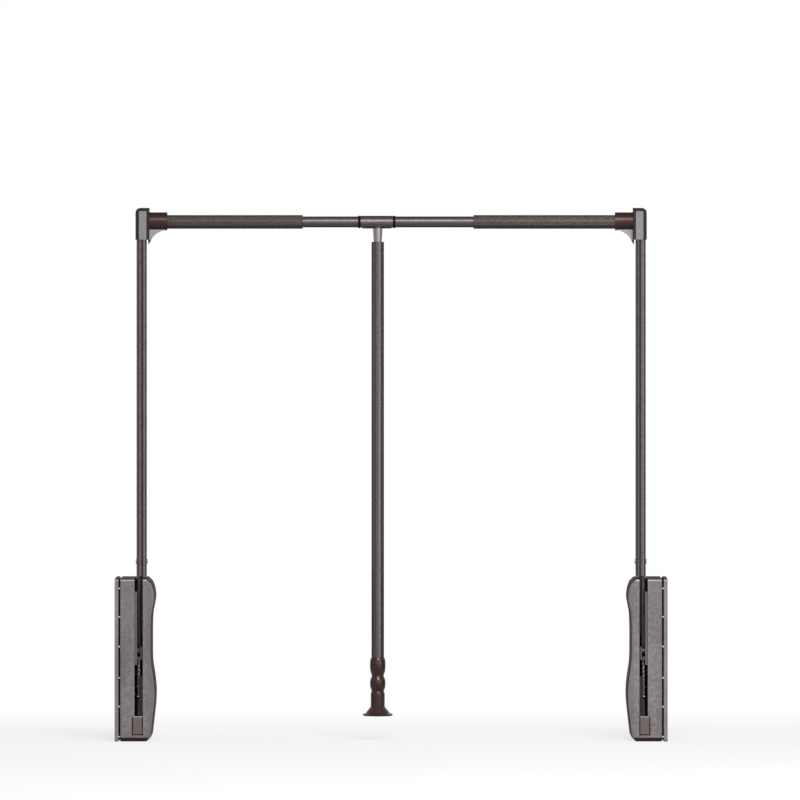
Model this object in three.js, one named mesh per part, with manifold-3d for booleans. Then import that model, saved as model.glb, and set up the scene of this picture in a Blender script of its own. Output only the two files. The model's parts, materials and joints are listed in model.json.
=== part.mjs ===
// Pull down closet rod: two spring housings on the wardrobe's side walls, two swinging arms,
// a telescopic hanging rod between them and a pull handle that hangs from the rod.
// Millimetres, +X to the right, the front faces -Y, +Z up.
// The origin is on the left wall plate's outer face, on the axis that the arms turn about.

import * as THREE from 'three';
import { mergeVertices } from 'three/addons/utils/BufferGeometryUtils.js';
import Module from 'manifold-3d';

const wasm = await Module();
wasm.setup();

// Overall sizes
const overallWidth = 885; // wall face to wall face, as photographed
const clearance = 0.3; // left between neighbouring pieces
const overrun = 5; // how far a cutting shape runs past the faces that it cuts
const fineSides = 36;
const plainSides = 24;
const smallSides = 12;

// Housing
const housingHeight = 260;
const housingDepth = 110;
const housingWidth = 64.5; // at its widest, from the wall
const pivotAboveBottom = 125;
const pivotBehindFront = 35;
const coverWall = 2.5;
const coverBevel = 3;
const coverWaveShares = [
  [0.904, 0.03], [0.937, 0.1], [0.97, 0.171], [1, 0.251], [1, 0.323], [0.967, 0.399],
  [0.923, 0.471], [0.908, 0.54], [0.908, 0.684], [0.923, 0.779], [0.96, 0.829],
  [0.993, 0.886], [0.963, 0.939],
]; // shares of width and height, up the wavy side
const coverFootShare = 0.785; // of the width, where the bottom corner is cut off
const coverShoulderShares = [0.911, 0.973]; // of width and height, on the upper corner
const coverCrownShare = 0.8; // of the width, where the top goes flat

// Wall plate
const wallPlateThick = 6;
const wallPlateCorner = 3;
const seamWidth = 3; // dark groove between the wall plate and the cover
const seamDepth = 2.5;
const knobRadius = 1.3;
const knobHeightShares = [0.03, 0.215, 0.392, 0.585, 0.768, 0.943];
const wallScrewRadius = 2.6;
const wallScrewInset = 16;
const standoffRadius = 7;
const standoffBehindPivot = 35;
const standoffBelowTop = 40; // the upper chassis screw, from the housing's top
const standoffBelowPivot = 12;

// Slot that the lever swings in
const mechanismX = 38.5; // middle plane of the lever, from the wall
const slotWidth = 13.4;
const slotBehindPivot = 23;
const sillWidth = 6.6; // below the lever's swing the slot's inner half is only sunk
const sillSunk = 1;
const sillBelowPivot = 20;

// Foot block at the slot's lower end
const footBlockWidth = 17;
const footBlockOffset = 2; // nearer to the wall than the lever
const footBlockHeight = 30;
const footBlockDepth = 25;
const footBlockTop = 40.3; // above the housing's bottom
const footBlockRecess = 1;

// Chassis
const chassisPlate = 2.5;
const chassisOuterX = 29; // outer face of its outer cheek
const chassisInnerX = 46; // outer face of its inner cheek
const chassisBack = 45;
const chassisBelow = 30;
const chassisTopGap = 4; // from its top to the housing's top
const chassisCrownBack = 27;
const innerCheekHalf = 22;
const lipBelowPivot = 2.4; // the front lip's lower end
const lipBelowTop = 20;
const innerCheekFront = 12;
const webBehindPivot = 26;
const chassisScrewRadius = 1.8;
const chassisScrewHeadRadius = 4.5;
const chassisScrewHead = 2.2;
const chassisScrewLength = 12;
const screwSocketShare = 0.9; // of the shank's radius

// Pivot
const outerJournalRadius = 6.8;
const innerJournalRadius = 4.4;
const shaftSquare = 9;
const shaftStub = 5.2; // shaft past the inner cheek, into the damper
const bushWall = 2.4;
const bushFlange = 0.6;
const bushFlangeRim = 2;

// Lever
const leverThick = 4;
const leverWidth = 20;
const leverHub = 13;
const leverBoss = 9;
const leverInArm = 50;
const crankRadius = 25;
const crankLeadDegrees = 40;
const crankPinRadius = 3;
const crankLobe = 7;
const crankWeb = 8;
const heelRadius = 24;
const heelWidth = 12;
const openDegrees = 100; // how far the arms swing forward

// Carriage that the crank pushes down
const carriageCheek = 3.5;
const carriageSlack = 1; // slot room above and below the pin for the crank's curve
const carriageWall = 2.5;
const carriageHead = 3.2;
const carriageBase = 5;
const guideRodRadius = 3;
const guideRodEngaged = 12;

// Balance spring, seen through the slot
const springOuterRadius = 6;
const springWireRadius = 0.9;
const springTurns = 8.5;
const springTurnSteps = 8;
const springWireSides = 5;
const springSeatTop = 73; // above the housing's bottom
const seatFlangeRadius = 8;
const seatFlange = 1.5;
const seatNutRadius = 7;
const seatNut = 4;
const guideTubeRadius = 4.65;

// Buffers and damper
const upperBufferHeight = 25;
const upperBufferDepth = 12;
const upperBufferRibs = 4;
const upperBufferGroove = 1.6;
const upperBufferTopGap = 1;
const lowerBufferHeight = 7.4;
const lowerBufferDepth = 10.7;
const damperRadius = 17;
const damperThick = 6.4;
const damperLugRadius = 4;
const damperRingShare = 0.75; // of its radius, the sunk ring round its hub
const damperRingFloorShare = 0.8; // of its thickness, where the sunk ring's floor is

// Arms
const armWidth = 16;
const armDepth = 30;
const armWall = 1.8;
const armCorner = 5;
const armGrooveWidth = 2.4;
const armGrooveDepth = 0.9;
const armGrooveOffset = 1.2; // inward from the arm's middle
const armAboveHousing = 4;
const rodRadius = 706.5; // the hanging rod's axis, from the pivot axis
const armPastRod = 17.5;
const insertTailPastCarriage = 4; // its lower end, from the circle round the carriage's front corner
const insertTailInset = 1; // from the lever's edges
const rivetRadius = 3;
const rivetHeadRadius = 4.6;
const rivetHead = 1.4;
const rivetCrownShare = 0.7; // of the head's radius, where it is flat
const rivetAlongLever = 23;

// Corner brackets
const bracketWall = 1.8;
const bracketOuterWall = 1.2;
const bracketInnerWall = 4;
const bracketBelowRod = 28.5;
const bracketAboveRod = 22.5;
const bracketRound = 8;
const bracketSocketRadius = 14.4;
const bracketSocketRise = 1; // its outside is this much higher than its bore
const bracketSocketEnd = 83.5; // from the wall
const bracketBoreStart = 55;
const bracketGussetHalf = 6;
const gussetTail = 16;
const gussetShares = [[1, 0.32], [0.62, 0.42], [0.4, 0.52], [0.25, 0.62], [0.12, 0.75], [0.03, 0.92]];
const gussetDrop = 36; // from the rod's axis to the gusset's lower tip
const coverStripWidth = 12.3;
const coverStripOffset = 2; // inward from the arm's middle
const coverStripThick = 1.5;
const coverStripTopInset = 5;

// Hanging rod
const outerTubeRadius = 11;
const outerTubeBore = 9.3;
const outerTubeLength = 245.3;
const rodShift = 4.9; // the rod stands this far left of the middle
const fluteCount = 26;
const fluteDepth = 0.4;
const innerTubeRadius = 8.8;
const innerTubeWall = 1.2;
const innerTubeLength = 590;

// Pull handle
const handleOffset = 21.5; // left of the middle
const sleeveLength = 51.4;
const sleeveOffset = -1.6; // it reaches further to the left of the neck
const sleeveRadius = 10.3;
const sleeveDrop = 0.5;
const sleeveChamfer = 4;
const collarWidth = 4;
const collarRadius = 10;
const neckTopRadius = 7.8;
const neckRadius = 6.6;
const neckBelowRod = 38.5; // where the spigot starts, from the rod's axis
const spigotRadius = 8.4;
const spigotLength = 28;
const pullRodRadius = 10;
const pullRodWall = 1.2;
const pullRodBelowRod = 32; // its top end, from the rod's axis
const pullRodBottom = 8.2;
const handlePinRadius = 1.6;
const handlePinBelowTop = 18;
const gripRadius = 12.5;
const gripNeckRadius = 9.2;
const gripTailRadius = 11.3;
const gripHeight = 78.4;
const gripSpigot = 25;
const gripTailShare = 0.71; // of its height, down to where the straight tail starts
const flangeRadius = 24;
const flangeThick = 3.2;
const flangeCone = 11.5;
const flangeFlareShares = [[1.73, 0.08], [1.42, 0.5]]; // of the tail's radius and the cone's height
const handleScrewRadius = 2;
const handleScrewHeadRadius = 4;
const handleScrewHead = 3;
const handleScrewLength = 24;

// Places that follow from the sizes above
const housingTop = housingHeight - pivotAboveBottom;
const housingBack = housingDepth - pivotBehindFront;
const coverStart = wallPlateThick + seamWidth + clearance;
const standoffSpread = housingTop - standoffBelowTop + standoffBelowPivot;
const chassisAbove = housingTop - chassisTopGap;
const chassisFront = pivotBehindFront - coverWall - 2 * clearance;
const armStartRadius = housingTop + armAboveHousing;
const armEndRadius = rodRadius + armPastRod;
const bracketBottom = rodRadius - bracketBelowRod;
const bracketTop = rodRadius + bracketAboveRod;
const neckBottom = rodRadius - neckBelowRod;
const pullRodTop = rodRadius - pullRodBelowRod;
const slotBottom = footBlockTop - pivotAboveBottom;
const footBlockX = mechanismX - footBlockOffset;
const leverOuterFace = mechanismX - leverThick / 2;
const armOuterFace = leverOuterFace - clearance - armWall;
const armX = armOuterFace + armWidth / 2;
const crankLead = THREE.MathUtils.degToRad(crankLeadDegrees);
const openAngle = THREE.MathUtils.degToRad(openDegrees);
const crankPinY = -crankRadius * Math.sin(crankLead);
const crankPinZ = crankRadius * Math.cos(crankLead);
const crankFarY = -crankRadius;
const crankNearY = crankPinY;
const springY = (crankFarY + crankNearY) / 2;
const springSeatZ = springSeatTop - pivotAboveBottom;
const carriageInnerGap = leverThick / 2 + clearance;
const carriageOuter = carriageInnerGap + carriageCheek;
const carriageFront = crankFarY - crankPinRadius - clearance - carriageWall;
const carriageSlotHalf = crankPinRadius + carriageSlack + clearance;
const carriageTop = carriageSlotHalf + carriageHead;
const insertTailStart = Math.hypot(carriageFront, crankPinZ + carriageTop) + insertTailPastCarriage;
const carriageBaseTop = -(crankLobe + carriageSlack + clearance + clearance);
const carriageBaseBottom = carriageBaseTop - carriageBase;
const handleX = overallWidth / 2 - handleOffset;

// Solids

function toSolid(geometry) {
  const plain = geometry.clone();
  plain.deleteAttribute('normal');
  plain.deleteAttribute('uv');
  const merged = mergeVertices(plain, 1e-4);
  const mesh = new wasm.Mesh({
    numProp: 3,
    vertProperties: new Float32Array(merged.attributes.position.array),
    triVerts: new Uint32Array(merged.index.array),
  });
  return new wasm.Manifold(mesh);
}

function toGeometry(solid) {
  const mesh = solid.getMesh();
  const geometry = new THREE.BufferGeometry();
  geometry.setAttribute('position', new THREE.BufferAttribute(mesh.vertProperties, 3));
  geometry.setIndex(new THREE.BufferAttribute(mesh.triVerts, 1));
  geometry.computeVertexNormals();
  return geometry;
}

function join(...geometries) {
  const [first, ...rest] = geometries.map(toSolid);
  return toGeometry(rest.reduce((whole, piece) => whole.add(piece), first));
}

function cut(geometry, ...tools) {
  return toGeometry(tools.reduce((left, tool) => left.subtract(toSolid(tool)), toSolid(geometry)));
}

function block(x0, x1, y0, y1, z0, z1) {
  const box = new THREE.BoxGeometry(x1 - x0, y1 - y0, z1 - z0);
  return box.translate((x0 + x1) / 2, (y0 + y1) / 2, (z0 + z1) / 2);
}

function discX(radius, x0, x1, y, z, sides) {
  const disc = new THREE.CylinderGeometry(radius, radius, x1 - x0, sides);
  return disc.rotateZ(-Math.PI / 2).translate((x0 + x1) / 2, y, z);
}

function discZ(radius, x, y, z0, z1, sides) {
  const disc = new THREE.CylinderGeometry(radius, radius, z1 - z0, sides);
  return disc.rotateX(Math.PI / 2).translate(x, y, (z0 + z1) / 2);
}

// A shape drawn in Y and Z, drawn out along X
function prismX(shape, x0, x1) {
  const prism = new THREE.ExtrudeGeometry(shape, { depth: x1 - x0, bevelEnabled: false, curveSegments: 6 });
  const turn = new THREE.Matrix4().makeBasis(
    new THREE.Vector3(0, 1, 0),
    new THREE.Vector3(0, 0, 1),
    new THREE.Vector3(1, 0, 0),
  );
  return prism.applyMatrix4(turn).translate(x0, 0, 0);
}

// A shape drawn in X and Z, drawn out along Y, with an optional bevel on both ends
function prismY(shape, y0, y1, bevel, segments) {
  const prism = new THREE.ExtrudeGeometry(shape, {
    depth: y1 - y0 - 2 * bevel,
    bevelEnabled: bevel > 0,
    bevelThickness: bevel,
    bevelSize: bevel,
    bevelOffset: -bevel,
    bevelSegments: 2,
    curveSegments: segments,
  });
  return prism.rotateX(Math.PI / 2).translate(0, y1 - bevel, 0);
}

// A profile of radius and height, turned about the vertical
function turned(points, sides) {
  const profile = points.map(([radius, height]) => new THREE.Vector2(radius, height));
  return new THREE.LatheGeometry(profile, sides).rotateX(Math.PI / 2);
}

function tubeZ(outer, inner, z0, z1, sides) {
  return turned([[inner, z0], [outer, z0], [outer, z1], [inner, z1], [inner, z0]], sides);
}

function tubeX(outer, inner, x0, x1, sides) {
  return tubeZ(outer, inner, x0, x1, sides).rotateY(Math.PI / 2);
}

function polygon(points) {
  return new THREE.Shape(points.map(([a, b]) => new THREE.Vector2(a, b)));
}

function roundedRectangle(x0, x1, y0, y1, round) {
  const shape = new THREE.Shape();
  shape.moveTo(x0 + round, y0);
  shape.lineTo(x1 - round, y0);
  shape.absarc(x1 - round, y0 + round, round, -Math.PI / 2, 0, false);
  shape.lineTo(x1, y1 - round);
  shape.absarc(x1 - round, y1 - round, round, 0, Math.PI / 2, false);
  shape.lineTo(x0 + round, y1);
  shape.absarc(x0 + round, y1 - round, round, Math.PI / 2, Math.PI, false);
  shape.lineTo(x0, y0 + round);
  shape.absarc(x0 + round, y0 + round, round, Math.PI, Math.PI * 1.5, false);
  return shape;
}

// Finishes

const finishes = {
  cover: { color: 0x7c7577, roughness: 0.42, metalness: 0.1 },
  plate: { color: 0x86808a, roughness: 0.45, metalness: 0.3 },
  steel: { color: 0x4a4042, roughness: 0.4, metalness: 0.8 },
  black: { color: 0x1a1718, roughness: 0.6, metalness: 0 },
  rubber: { color: 0x0e0d0d, roughness: 0.85, metalness: 0 },
  brass: { color: 0x6f5d56, roughness: 0.5, metalness: 0.2 },
  mocha: { color: 0x564b4c, roughness: 0.3, metalness: 0.75 },
  strip: { color: 0x8e8a8f, roughness: 0.35, metalness: 0.5 },
  grip: { color: 0x2a1c18, roughness: 0.2, metalness: 0.1 },
  bright: { color: 0xb0aeb0, roughness: 0.3, metalness: 0.9 },
};

function piece(name, geometry, finish, x = 0, y = 0, z = 0) {
  const mesh = new THREE.Mesh(geometry, new THREE.MeshStandardMaterial(finishes[finish]));
  mesh.name = name;
  mesh.position.set(x, y, z);
  return mesh;
}

// Housing cover: a shell with a wavy inner side, open to the wall, slotted in front and on top

function coverOutline(width, height) {
  const shape = new THREE.Shape();
  shape.moveTo(0, 0);
  shape.lineTo(width * coverFootShare, 0);
  const wave = coverWaveShares.map(([across, up]) => new THREE.Vector2(width * across, height * up));
  shape.lineTo(wave[0].x, wave[0].y);
  shape.splineThru(wave.slice(1));
  shape.lineTo(width * coverShoulderShares[0], height * coverShoulderShares[1]);
  shape.lineTo(width * coverCrownShare, height);
  shape.lineTo(0, height);
  return shape;
}

function makeCover() {
  const front = -pivotBehindFront;
  const outside = prismY(coverOutline(housingWidth, housingHeight), front, housingBack, coverBevel, 2);
  const hollowOutline = coverOutline(housingWidth - coverWall, housingHeight - 2 * coverWall);
  const hollow = prismY(hollowOutline, front + coverWall, housingBack - coverWall, 0, 2);
  hollow.translate(0, 0, coverWall);
  const outer = -overrun;
  const wallSide = block(outer, coverStart, front - overrun, housingBack + overrun, outer, housingHeight + overrun);
  const shell = cut(outside, hollow, wallSide).translate(0, 0, -pivotAboveBottom);
  const slotOuterX = mechanismX - slotWidth / 2;
  const slotInnerX = mechanismX + slotWidth / 2;
  const slot = block(slotOuterX, slotInnerX, front - overrun, slotBehindPivot, -sillBelowPivot, housingTop + overrun);
  const lowerSlot = block(
    slotOuterX, slotInnerX - sillWidth, front - overrun, slotBehindPivot, slotBottom, clearance - sillBelowPivot,
  );
  const sill = block(
    slotInnerX - sillWidth - clearance, slotInnerX, front - overrun, front + sillSunk,
    slotBottom, clearance - sillBelowPivot,
  );
  const footHalf = footBlockWidth / 2 + clearance;
  const footSlot = block(
    footBlockX - footHalf, footBlockX + footHalf,
    front - overrun, front + coverWall + clearance,
    slotBottom - footBlockHeight - clearance, slotBottom + clearance,
  );
  return cut(shell, slot, lowerSlot, sill, footSlot);
}

// Wall plate: fixed to the wardrobe's side, with a plinth for the cover and standoffs for the chassis

function makeWallPlate() {
  const front = -pivotBehindFront;
  const bottom = -pivotAboveBottom;
  const outline = roundedRectangle(front, housingBack, bottom, housingTop, wallPlateCorner);
  const plate = prismX(outline, 0, wallPlateThick);
  const plinthOutline = roundedRectangle(
    front + seamDepth, housingBack - seamDepth, bottom + seamDepth, housingTop - seamDepth, wallPlateCorner,
  );
  const plinthX = wallPlateThick + seamWidth;
  const plinth = prismX(plinthOutline, wallPlateThick / 2, plinthX);
  const knobs = knobHeightShares.flatMap((share) => {
    const z = bottom + housingHeight * share;
    return [front + knobRadius, housingBack - knobRadius].map((y) => (
      discX(knobRadius, wallPlateThick / 2, plinthX - clearance, y, z, smallSides / 2)
    ));
  });
  const standoffs = [0, standoffSpread].map((up) => (
    discX(standoffRadius, wallPlateThick / 2, chassisOuterX - clearance, standoffBehindPivot,
      up - standoffBelowPivot, plainSides)
  ));
  const footMiddle = slotBottom - footBlockHeight / 2;
  const footArm = block(
    wallPlateThick / 2, footBlockX - footBlockWidth / 2 - clearance,
    front + footBlockRecess + coverWall * 2, front + footBlockDepth,
    footMiddle - footBlockHeight / 4, footMiddle + footBlockHeight / 4,
  );
  const screwHoles = [0, standoffSpread].map((up) => (
    discX(chassisScrewRadius + clearance, chassisOuterX - chassisScrewLength - clearance,
      chassisOuterX + overrun, standoffBehindPivot, up - standoffBelowPivot, smallSides)
  ));
  const wallHoles = [
    [housingBack - wallScrewInset, housingTop - wallScrewInset],
    [housingBack - wallScrewInset, bottom + wallScrewInset],
    [front + wallScrewInset, housingTop - wallScrewInset],
    [front + wallScrewInset, footMiddle + footBlockHeight * 2],
  ].map(([y, z]) => discX(wallScrewRadius, -overrun, plinthX + overrun, y, z, smallSides));
  return cut(join(plate, plinth, ...knobs, ...standoffs, footArm), ...screwHoles, ...wallHoles);
}

// Chassis: a folded steel plate that carries the pivot

function makeChassis() {
  const tall = polygon([
    [-chassisFront, -chassisBelow], [chassisBack, -chassisBelow],
    [chassisBack, standoffSpread - standoffBelowPivot + standoffRadius],
    [chassisCrownBack, chassisAbove], [-chassisFront, chassisAbove],
  ]);
  const outerCheek = prismX(tall, chassisOuterX, chassisOuterX + chassisPlate);
  const webBack = webBehindPivot + chassisPlate;
  const innerCheek = block(
    chassisInnerX, chassisInnerX + chassisPlate, -innerCheekFront, webBack, -innerCheekHalf, innerCheekHalf,
  );
  const web = block(
    chassisOuterX, chassisInnerX + chassisPlate, webBehindPivot, webBack, -innerCheekHalf, innerCheekHalf,
  );
  const lip = block(
    chassisOuterX, leverOuterFace - 2 * clearance, -chassisFront, carriageFront - clearance,
    -lipBelowPivot, housingTop - lipBelowTop,
  );
  const outerBore = discX(outerJournalRadius + bushWall + 2 * clearance, chassisOuterX - overrun,
    chassisOuterX + chassisPlate + overrun, 0, 0, plainSides);
  const innerBore = discX(innerJournalRadius + bushWall + 2 * clearance, chassisInnerX - overrun,
    chassisInnerX + chassisPlate + overrun, 0, 0, plainSides);
  const screwHoles = [0, standoffSpread].map((up) => (
    discX(chassisScrewRadius + clearance, chassisOuterX - overrun, chassisOuterX + chassisPlate + overrun,
      standoffBehindPivot, up - standoffBelowPivot, smallSides)
  ));
  return cut(join(outerCheek, innerCheek, web, lip), outerBore, innerBore, ...screwHoles);
}

function makeScrew(radius, headRadius, head, length) {
  const socket = radius * screwSocketShare;
  const screw = turned([
    [0, -length], [radius, -length], [radius, 0], [headRadius, 0], [headRadius, head], [0, head],
  ], smallSides);
  const drive = new THREE.CylinderGeometry(socket, socket, head, 6).rotateX(Math.PI / 2).translate(0, 0, head);
  return cut(screw, drive);
}

function makeBush(journal, plate) {
  const inner = journal + clearance;
  const outer = inner + bushWall;
  return turned([
    [inner, 0], [outer, 0], [outer, plate], [outer + bushFlangeRim, plate],
    [outer + bushFlangeRim, plate + bushFlange], [inner, plate + bushFlange], [inner, 0],
  ], plainSides).rotateY(Math.PI / 2);
}

// Pivot shaft: a big journal, a square that drives the lever and a small journal with a stub

const bushReach = bushFlange + 2 * clearance;
const squareStart = chassisOuterX + chassisPlate + bushReach;
const squareEnd = chassisInnerX - bushReach;

function makePivotShaft() {
  const outerJournal = discX(outerJournalRadius, chassisOuterX - chassisPlate, squareStart, 0, 0, plainSides);
  const half = shaftSquare / 2;
  const square = block(squareStart - chassisPlate / 2, squareEnd, -half, half, -half, half);
  const innerJournal = discX(innerJournalRadius, squareEnd - chassisPlate / 2,
    chassisInnerX + chassisPlate + shaftStub, 0, 0, plainSides);
  return join(outerJournal, square, innerJournal);
}

// Lever: a steel plate with a crank lobe ahead of it and a heel that meets the lower buffer

function makeLever() {
  const halfThick = leverThick / 2;
  const beam = block(-halfThick, halfThick, -leverWidth / 2, leverWidth / 2, 0, armStartRadius + leverInArm);
  const hub = discX(leverHub, -halfThick, halfThick, 0, 0, plainSides);
  const heel = block(-halfThick, halfThick, -heelWidth / 2, heelWidth / 2, -heelRadius, 0);
  const web = block(-halfThick, halfThick, -crankWeb / 2, crankWeb / 2, 0, crankRadius).rotateX(crankLead);
  const lobe = discX(crankLobe, -halfThick, halfThick, crankPinY, crankPinZ, smallSides);
  const bossStart = squareStart + clearance - mechanismX;
  const bossEnd = squareEnd - clearance - mechanismX;
  const boss = discX(leverBoss, bossStart, bossEnd, 0, 0, plainSides);
  const half = shaftSquare / 2 + clearance;
  const reach = housingWidth;
  const square = block(-reach, reach, -half, half, -half, half);
  const pinBore = discX(crankPinRadius + clearance, -reach, reach, crankPinY, crankPinZ, smallSides);
  const rivetBore = discX(rivetRadius + clearance, -reach, reach, 0, armStartRadius + rivetAlongLever, smallSides);
  return cut(join(beam, hub, heel, web, lobe, boss), square, pinBore, rivetBore);
}

// Carriage: a fork round the lever, its slots round the crank pin, its base on the spring

function makeCarriage() {
  const slotFront = carriageFront + carriageWall;
  const slotBack = crankNearY + crankPinRadius + clearance;
  const cheekBack = slotBack + carriageWall;
  const whole = block(
    -carriageOuter, carriageOuter, carriageFront, cheekBack, carriageBaseBottom, carriageTop,
  );
  const gap = block(-carriageInnerGap, carriageInnerGap, carriageFront - overrun, cheekBack + overrun,
    carriageBaseTop, carriageTop + overrun);
  const webRoom = block(-carriageInnerGap, carriageInnerGap, springY + springOuterRadius, cheekBack + overrun,
    carriageBaseBottom - overrun, carriageTop + overrun);
  const pinSlot = block(-carriageOuter - overrun, carriageOuter + overrun, slotFront, slotBack,
    -carriageSlotHalf, carriageSlotHalf);
  const rodBore = discZ(guideRodRadius + clearance, 0, springY, carriageBaseBottom - overrun,
    carriageBaseTop + overrun / 2, smallSides);
  return cut(whole, gap, webRoom, pinSlot, rodBore);
}

// Balance spring: one wire along a helix with plain ends, and the least gap to itself

function makeSpring(bottom, top, hand) {
  const wire = springWireRadius;
  const middle = springOuterRadius - wire;
  const steps = springTurns * springTurnSteps;
  const rise = (top - bottom - 2 * wire) / steps;
  const across = THREE.MathUtils.degToRad(360 / springTurnSteps);
  const rings = [];
  for (let step = 0; step <= steps; step += 1) {
    const angle = hand * step * across;
    const centre = new THREE.Vector3(Math.cos(angle) * middle, Math.sin(angle) * middle, wire + step * rise);
    const round = hand * middle * across;
    const along = new THREE.Vector3(-Math.sin(angle) * round, Math.cos(angle) * round, rise);
    rings.push({ centre, along: along.normalize() });
  }
  const lead = 2 * wire;
  const first = rings[0];
  const last = rings[rings.length - 1];
  const flatFirst = new THREE.Vector3(first.along.x, first.along.y, 0).normalize();
  const flatLast = new THREE.Vector3(last.along.x, last.along.y, 0).normalize();
  rings.unshift({ centre: first.centre.clone().addScaledVector(flatFirst, -lead), along: flatFirst });
  rings.push({ centre: last.centre.clone().addScaledVector(flatLast, lead), along: flatLast });
  const positions = [];
  const up = new THREE.Vector3(0, 0, 1);
  for (const { centre, along } of rings) {
    const side = new THREE.Vector3().crossVectors(along, up).normalize();
    const lift = new THREE.Vector3().crossVectors(side, along).normalize();
    for (let corner = 0; corner < springWireSides; corner += 1) {
      const turn = (corner / springWireSides) * Math.PI * 2 + Math.PI / 2;
      const point = centre.clone()
        .addScaledVector(side, Math.cos(turn) * wire)
        .addScaledVector(lift, Math.sin(turn) * wire);
      positions.push(point.x, point.y, point.z);
    }
  }
  const index = [];
  const sides = springWireSides;
  for (let ring = 0; ring < rings.length - 1; ring += 1) {
    for (let corner = 0; corner < sides; corner += 1) {
      const a = ring * sides + corner;
      const b = ring * sides + ((corner + 1) % sides);
      index.push(a, b + sides, b, a, a + sides, b + sides);
    }
  }
  const endRing = (rings.length - 1) * sides;
  for (let corner = 1; corner < sides - 1; corner += 1) {
    index.push(0, corner, corner + 1);
    index.push(endRing, endRing + corner + 1, endRing + corner);
  }
  const geometry = new THREE.BufferGeometry();
  geometry.setAttribute('position', new THREE.Float32BufferAttribute(positions, 3));
  geometry.setIndex(index);
  geometry.computeVertexNormals();
  let least = Infinity;
  for (let a = 0; a < rings.length; a += 1) {
    for (let b = a + springTurnSteps - 2; b < rings.length; b += 1) {
      least = Math.min(least, rings[a].centre.distanceTo(rings[b].centre) - 2 * wire);
    }
  }
  console.log(`spring: ${springTurns} turns, least gap to itself ${least.toFixed(2)} mm`);
  return geometry.translate(0, 0, bottom);
}

function makeSpringSeat() {
  const flange = discZ(seatFlangeRadius, 0, 0, -seatFlange, 0, plainSides);
  const nut = discZ(seatNutRadius, 0, 0, -seatFlange - seatNut, -seatFlange / 2, 6);
  const bore = discZ(guideTubeRadius + clearance, 0, 0, -seatFlange - seatNut - overrun, overrun, plainSides);
  return cut(join(flange, nut), bore);
}

function makeFootBlock(rodBottom) {
  const half = footBlockWidth / 2;
  const front = -pivotBehindFront + footBlockRecess;
  const body = block(-half, half, front, front + footBlockDepth, slotBottom - footBlockHeight, slotBottom);
  const bore = discZ(
    guideRodRadius + clearance, footBlockOffset, springY, rodBottom - clearance, slotBottom + overrun, smallSides,
  );
  return cut(body, bore);
}

function makeUpperBuffer() {
  const half = slotWidth / 2 - 2 * clearance;
  const front = leverWidth / 2 + clearance;
  const top = housingTop - upperBufferTopGap;
  const bottom = top - upperBufferHeight;
  const pitch = upperBufferHeight / upperBufferRibs;
  const body = block(-half, half, front, front + upperBufferDepth, bottom, top);
  const grooves = [];
  for (let rib = 1; rib < upperBufferRibs; rib += 1) {
    const z = bottom + rib * pitch;
    grooves.push(block(-half - overrun, half + overrun, front - overrun, front + upperBufferGroove * 2,
      z - upperBufferGroove / 2, z + upperBufferGroove / 2));
  }
  return cut(body, ...grooves);
}

// Lower buffer: where the heel comes to at the end of the swing

function makeLowerBuffer() {
  const rise = openAngle - Math.PI / 2;
  const heelTop = heelRadius * Math.sin(rise) + (heelWidth / 2) * Math.cos(rise);
  const half = slotWidth / 2 - clearance - leverThick / 4;
  const back = webBehindPivot - clearance;
  const bottom = heelTop + clearance;
  return block(-half, half, back - lowerBufferDepth, back, bottom, bottom + lowerBufferHeight);
}

function makeDamper() {
  const body = discX(damperRadius, 0, damperThick, 0, 0, fineSides);
  const lugs = [-1, 1].map((way) => (
    discX(damperLugRadius, 0, damperThick / 2, 0, way * (damperRadius + damperLugRadius / 2), smallSides)
  ));
  const hub = discX(damperRadius / 2, damperThick / 2, damperThick, 0, 0, plainSides);
  const ring = discX(damperRadius * damperRingShare, damperThick * damperRingFloorShare, damperThick + overrun,
    0, 0, plainSides);
  const boreEnd = damperThick * damperRingShare + clearance;
  const bore = discX(innerJournalRadius + clearance, -overrun, boreEnd, 0, 0, plainSides);
  return cut(join(cut(join(body, ...lugs), ring), hub), bore);
}

// Arm tube: a rounded flat tube, grooved along its front and back

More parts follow.
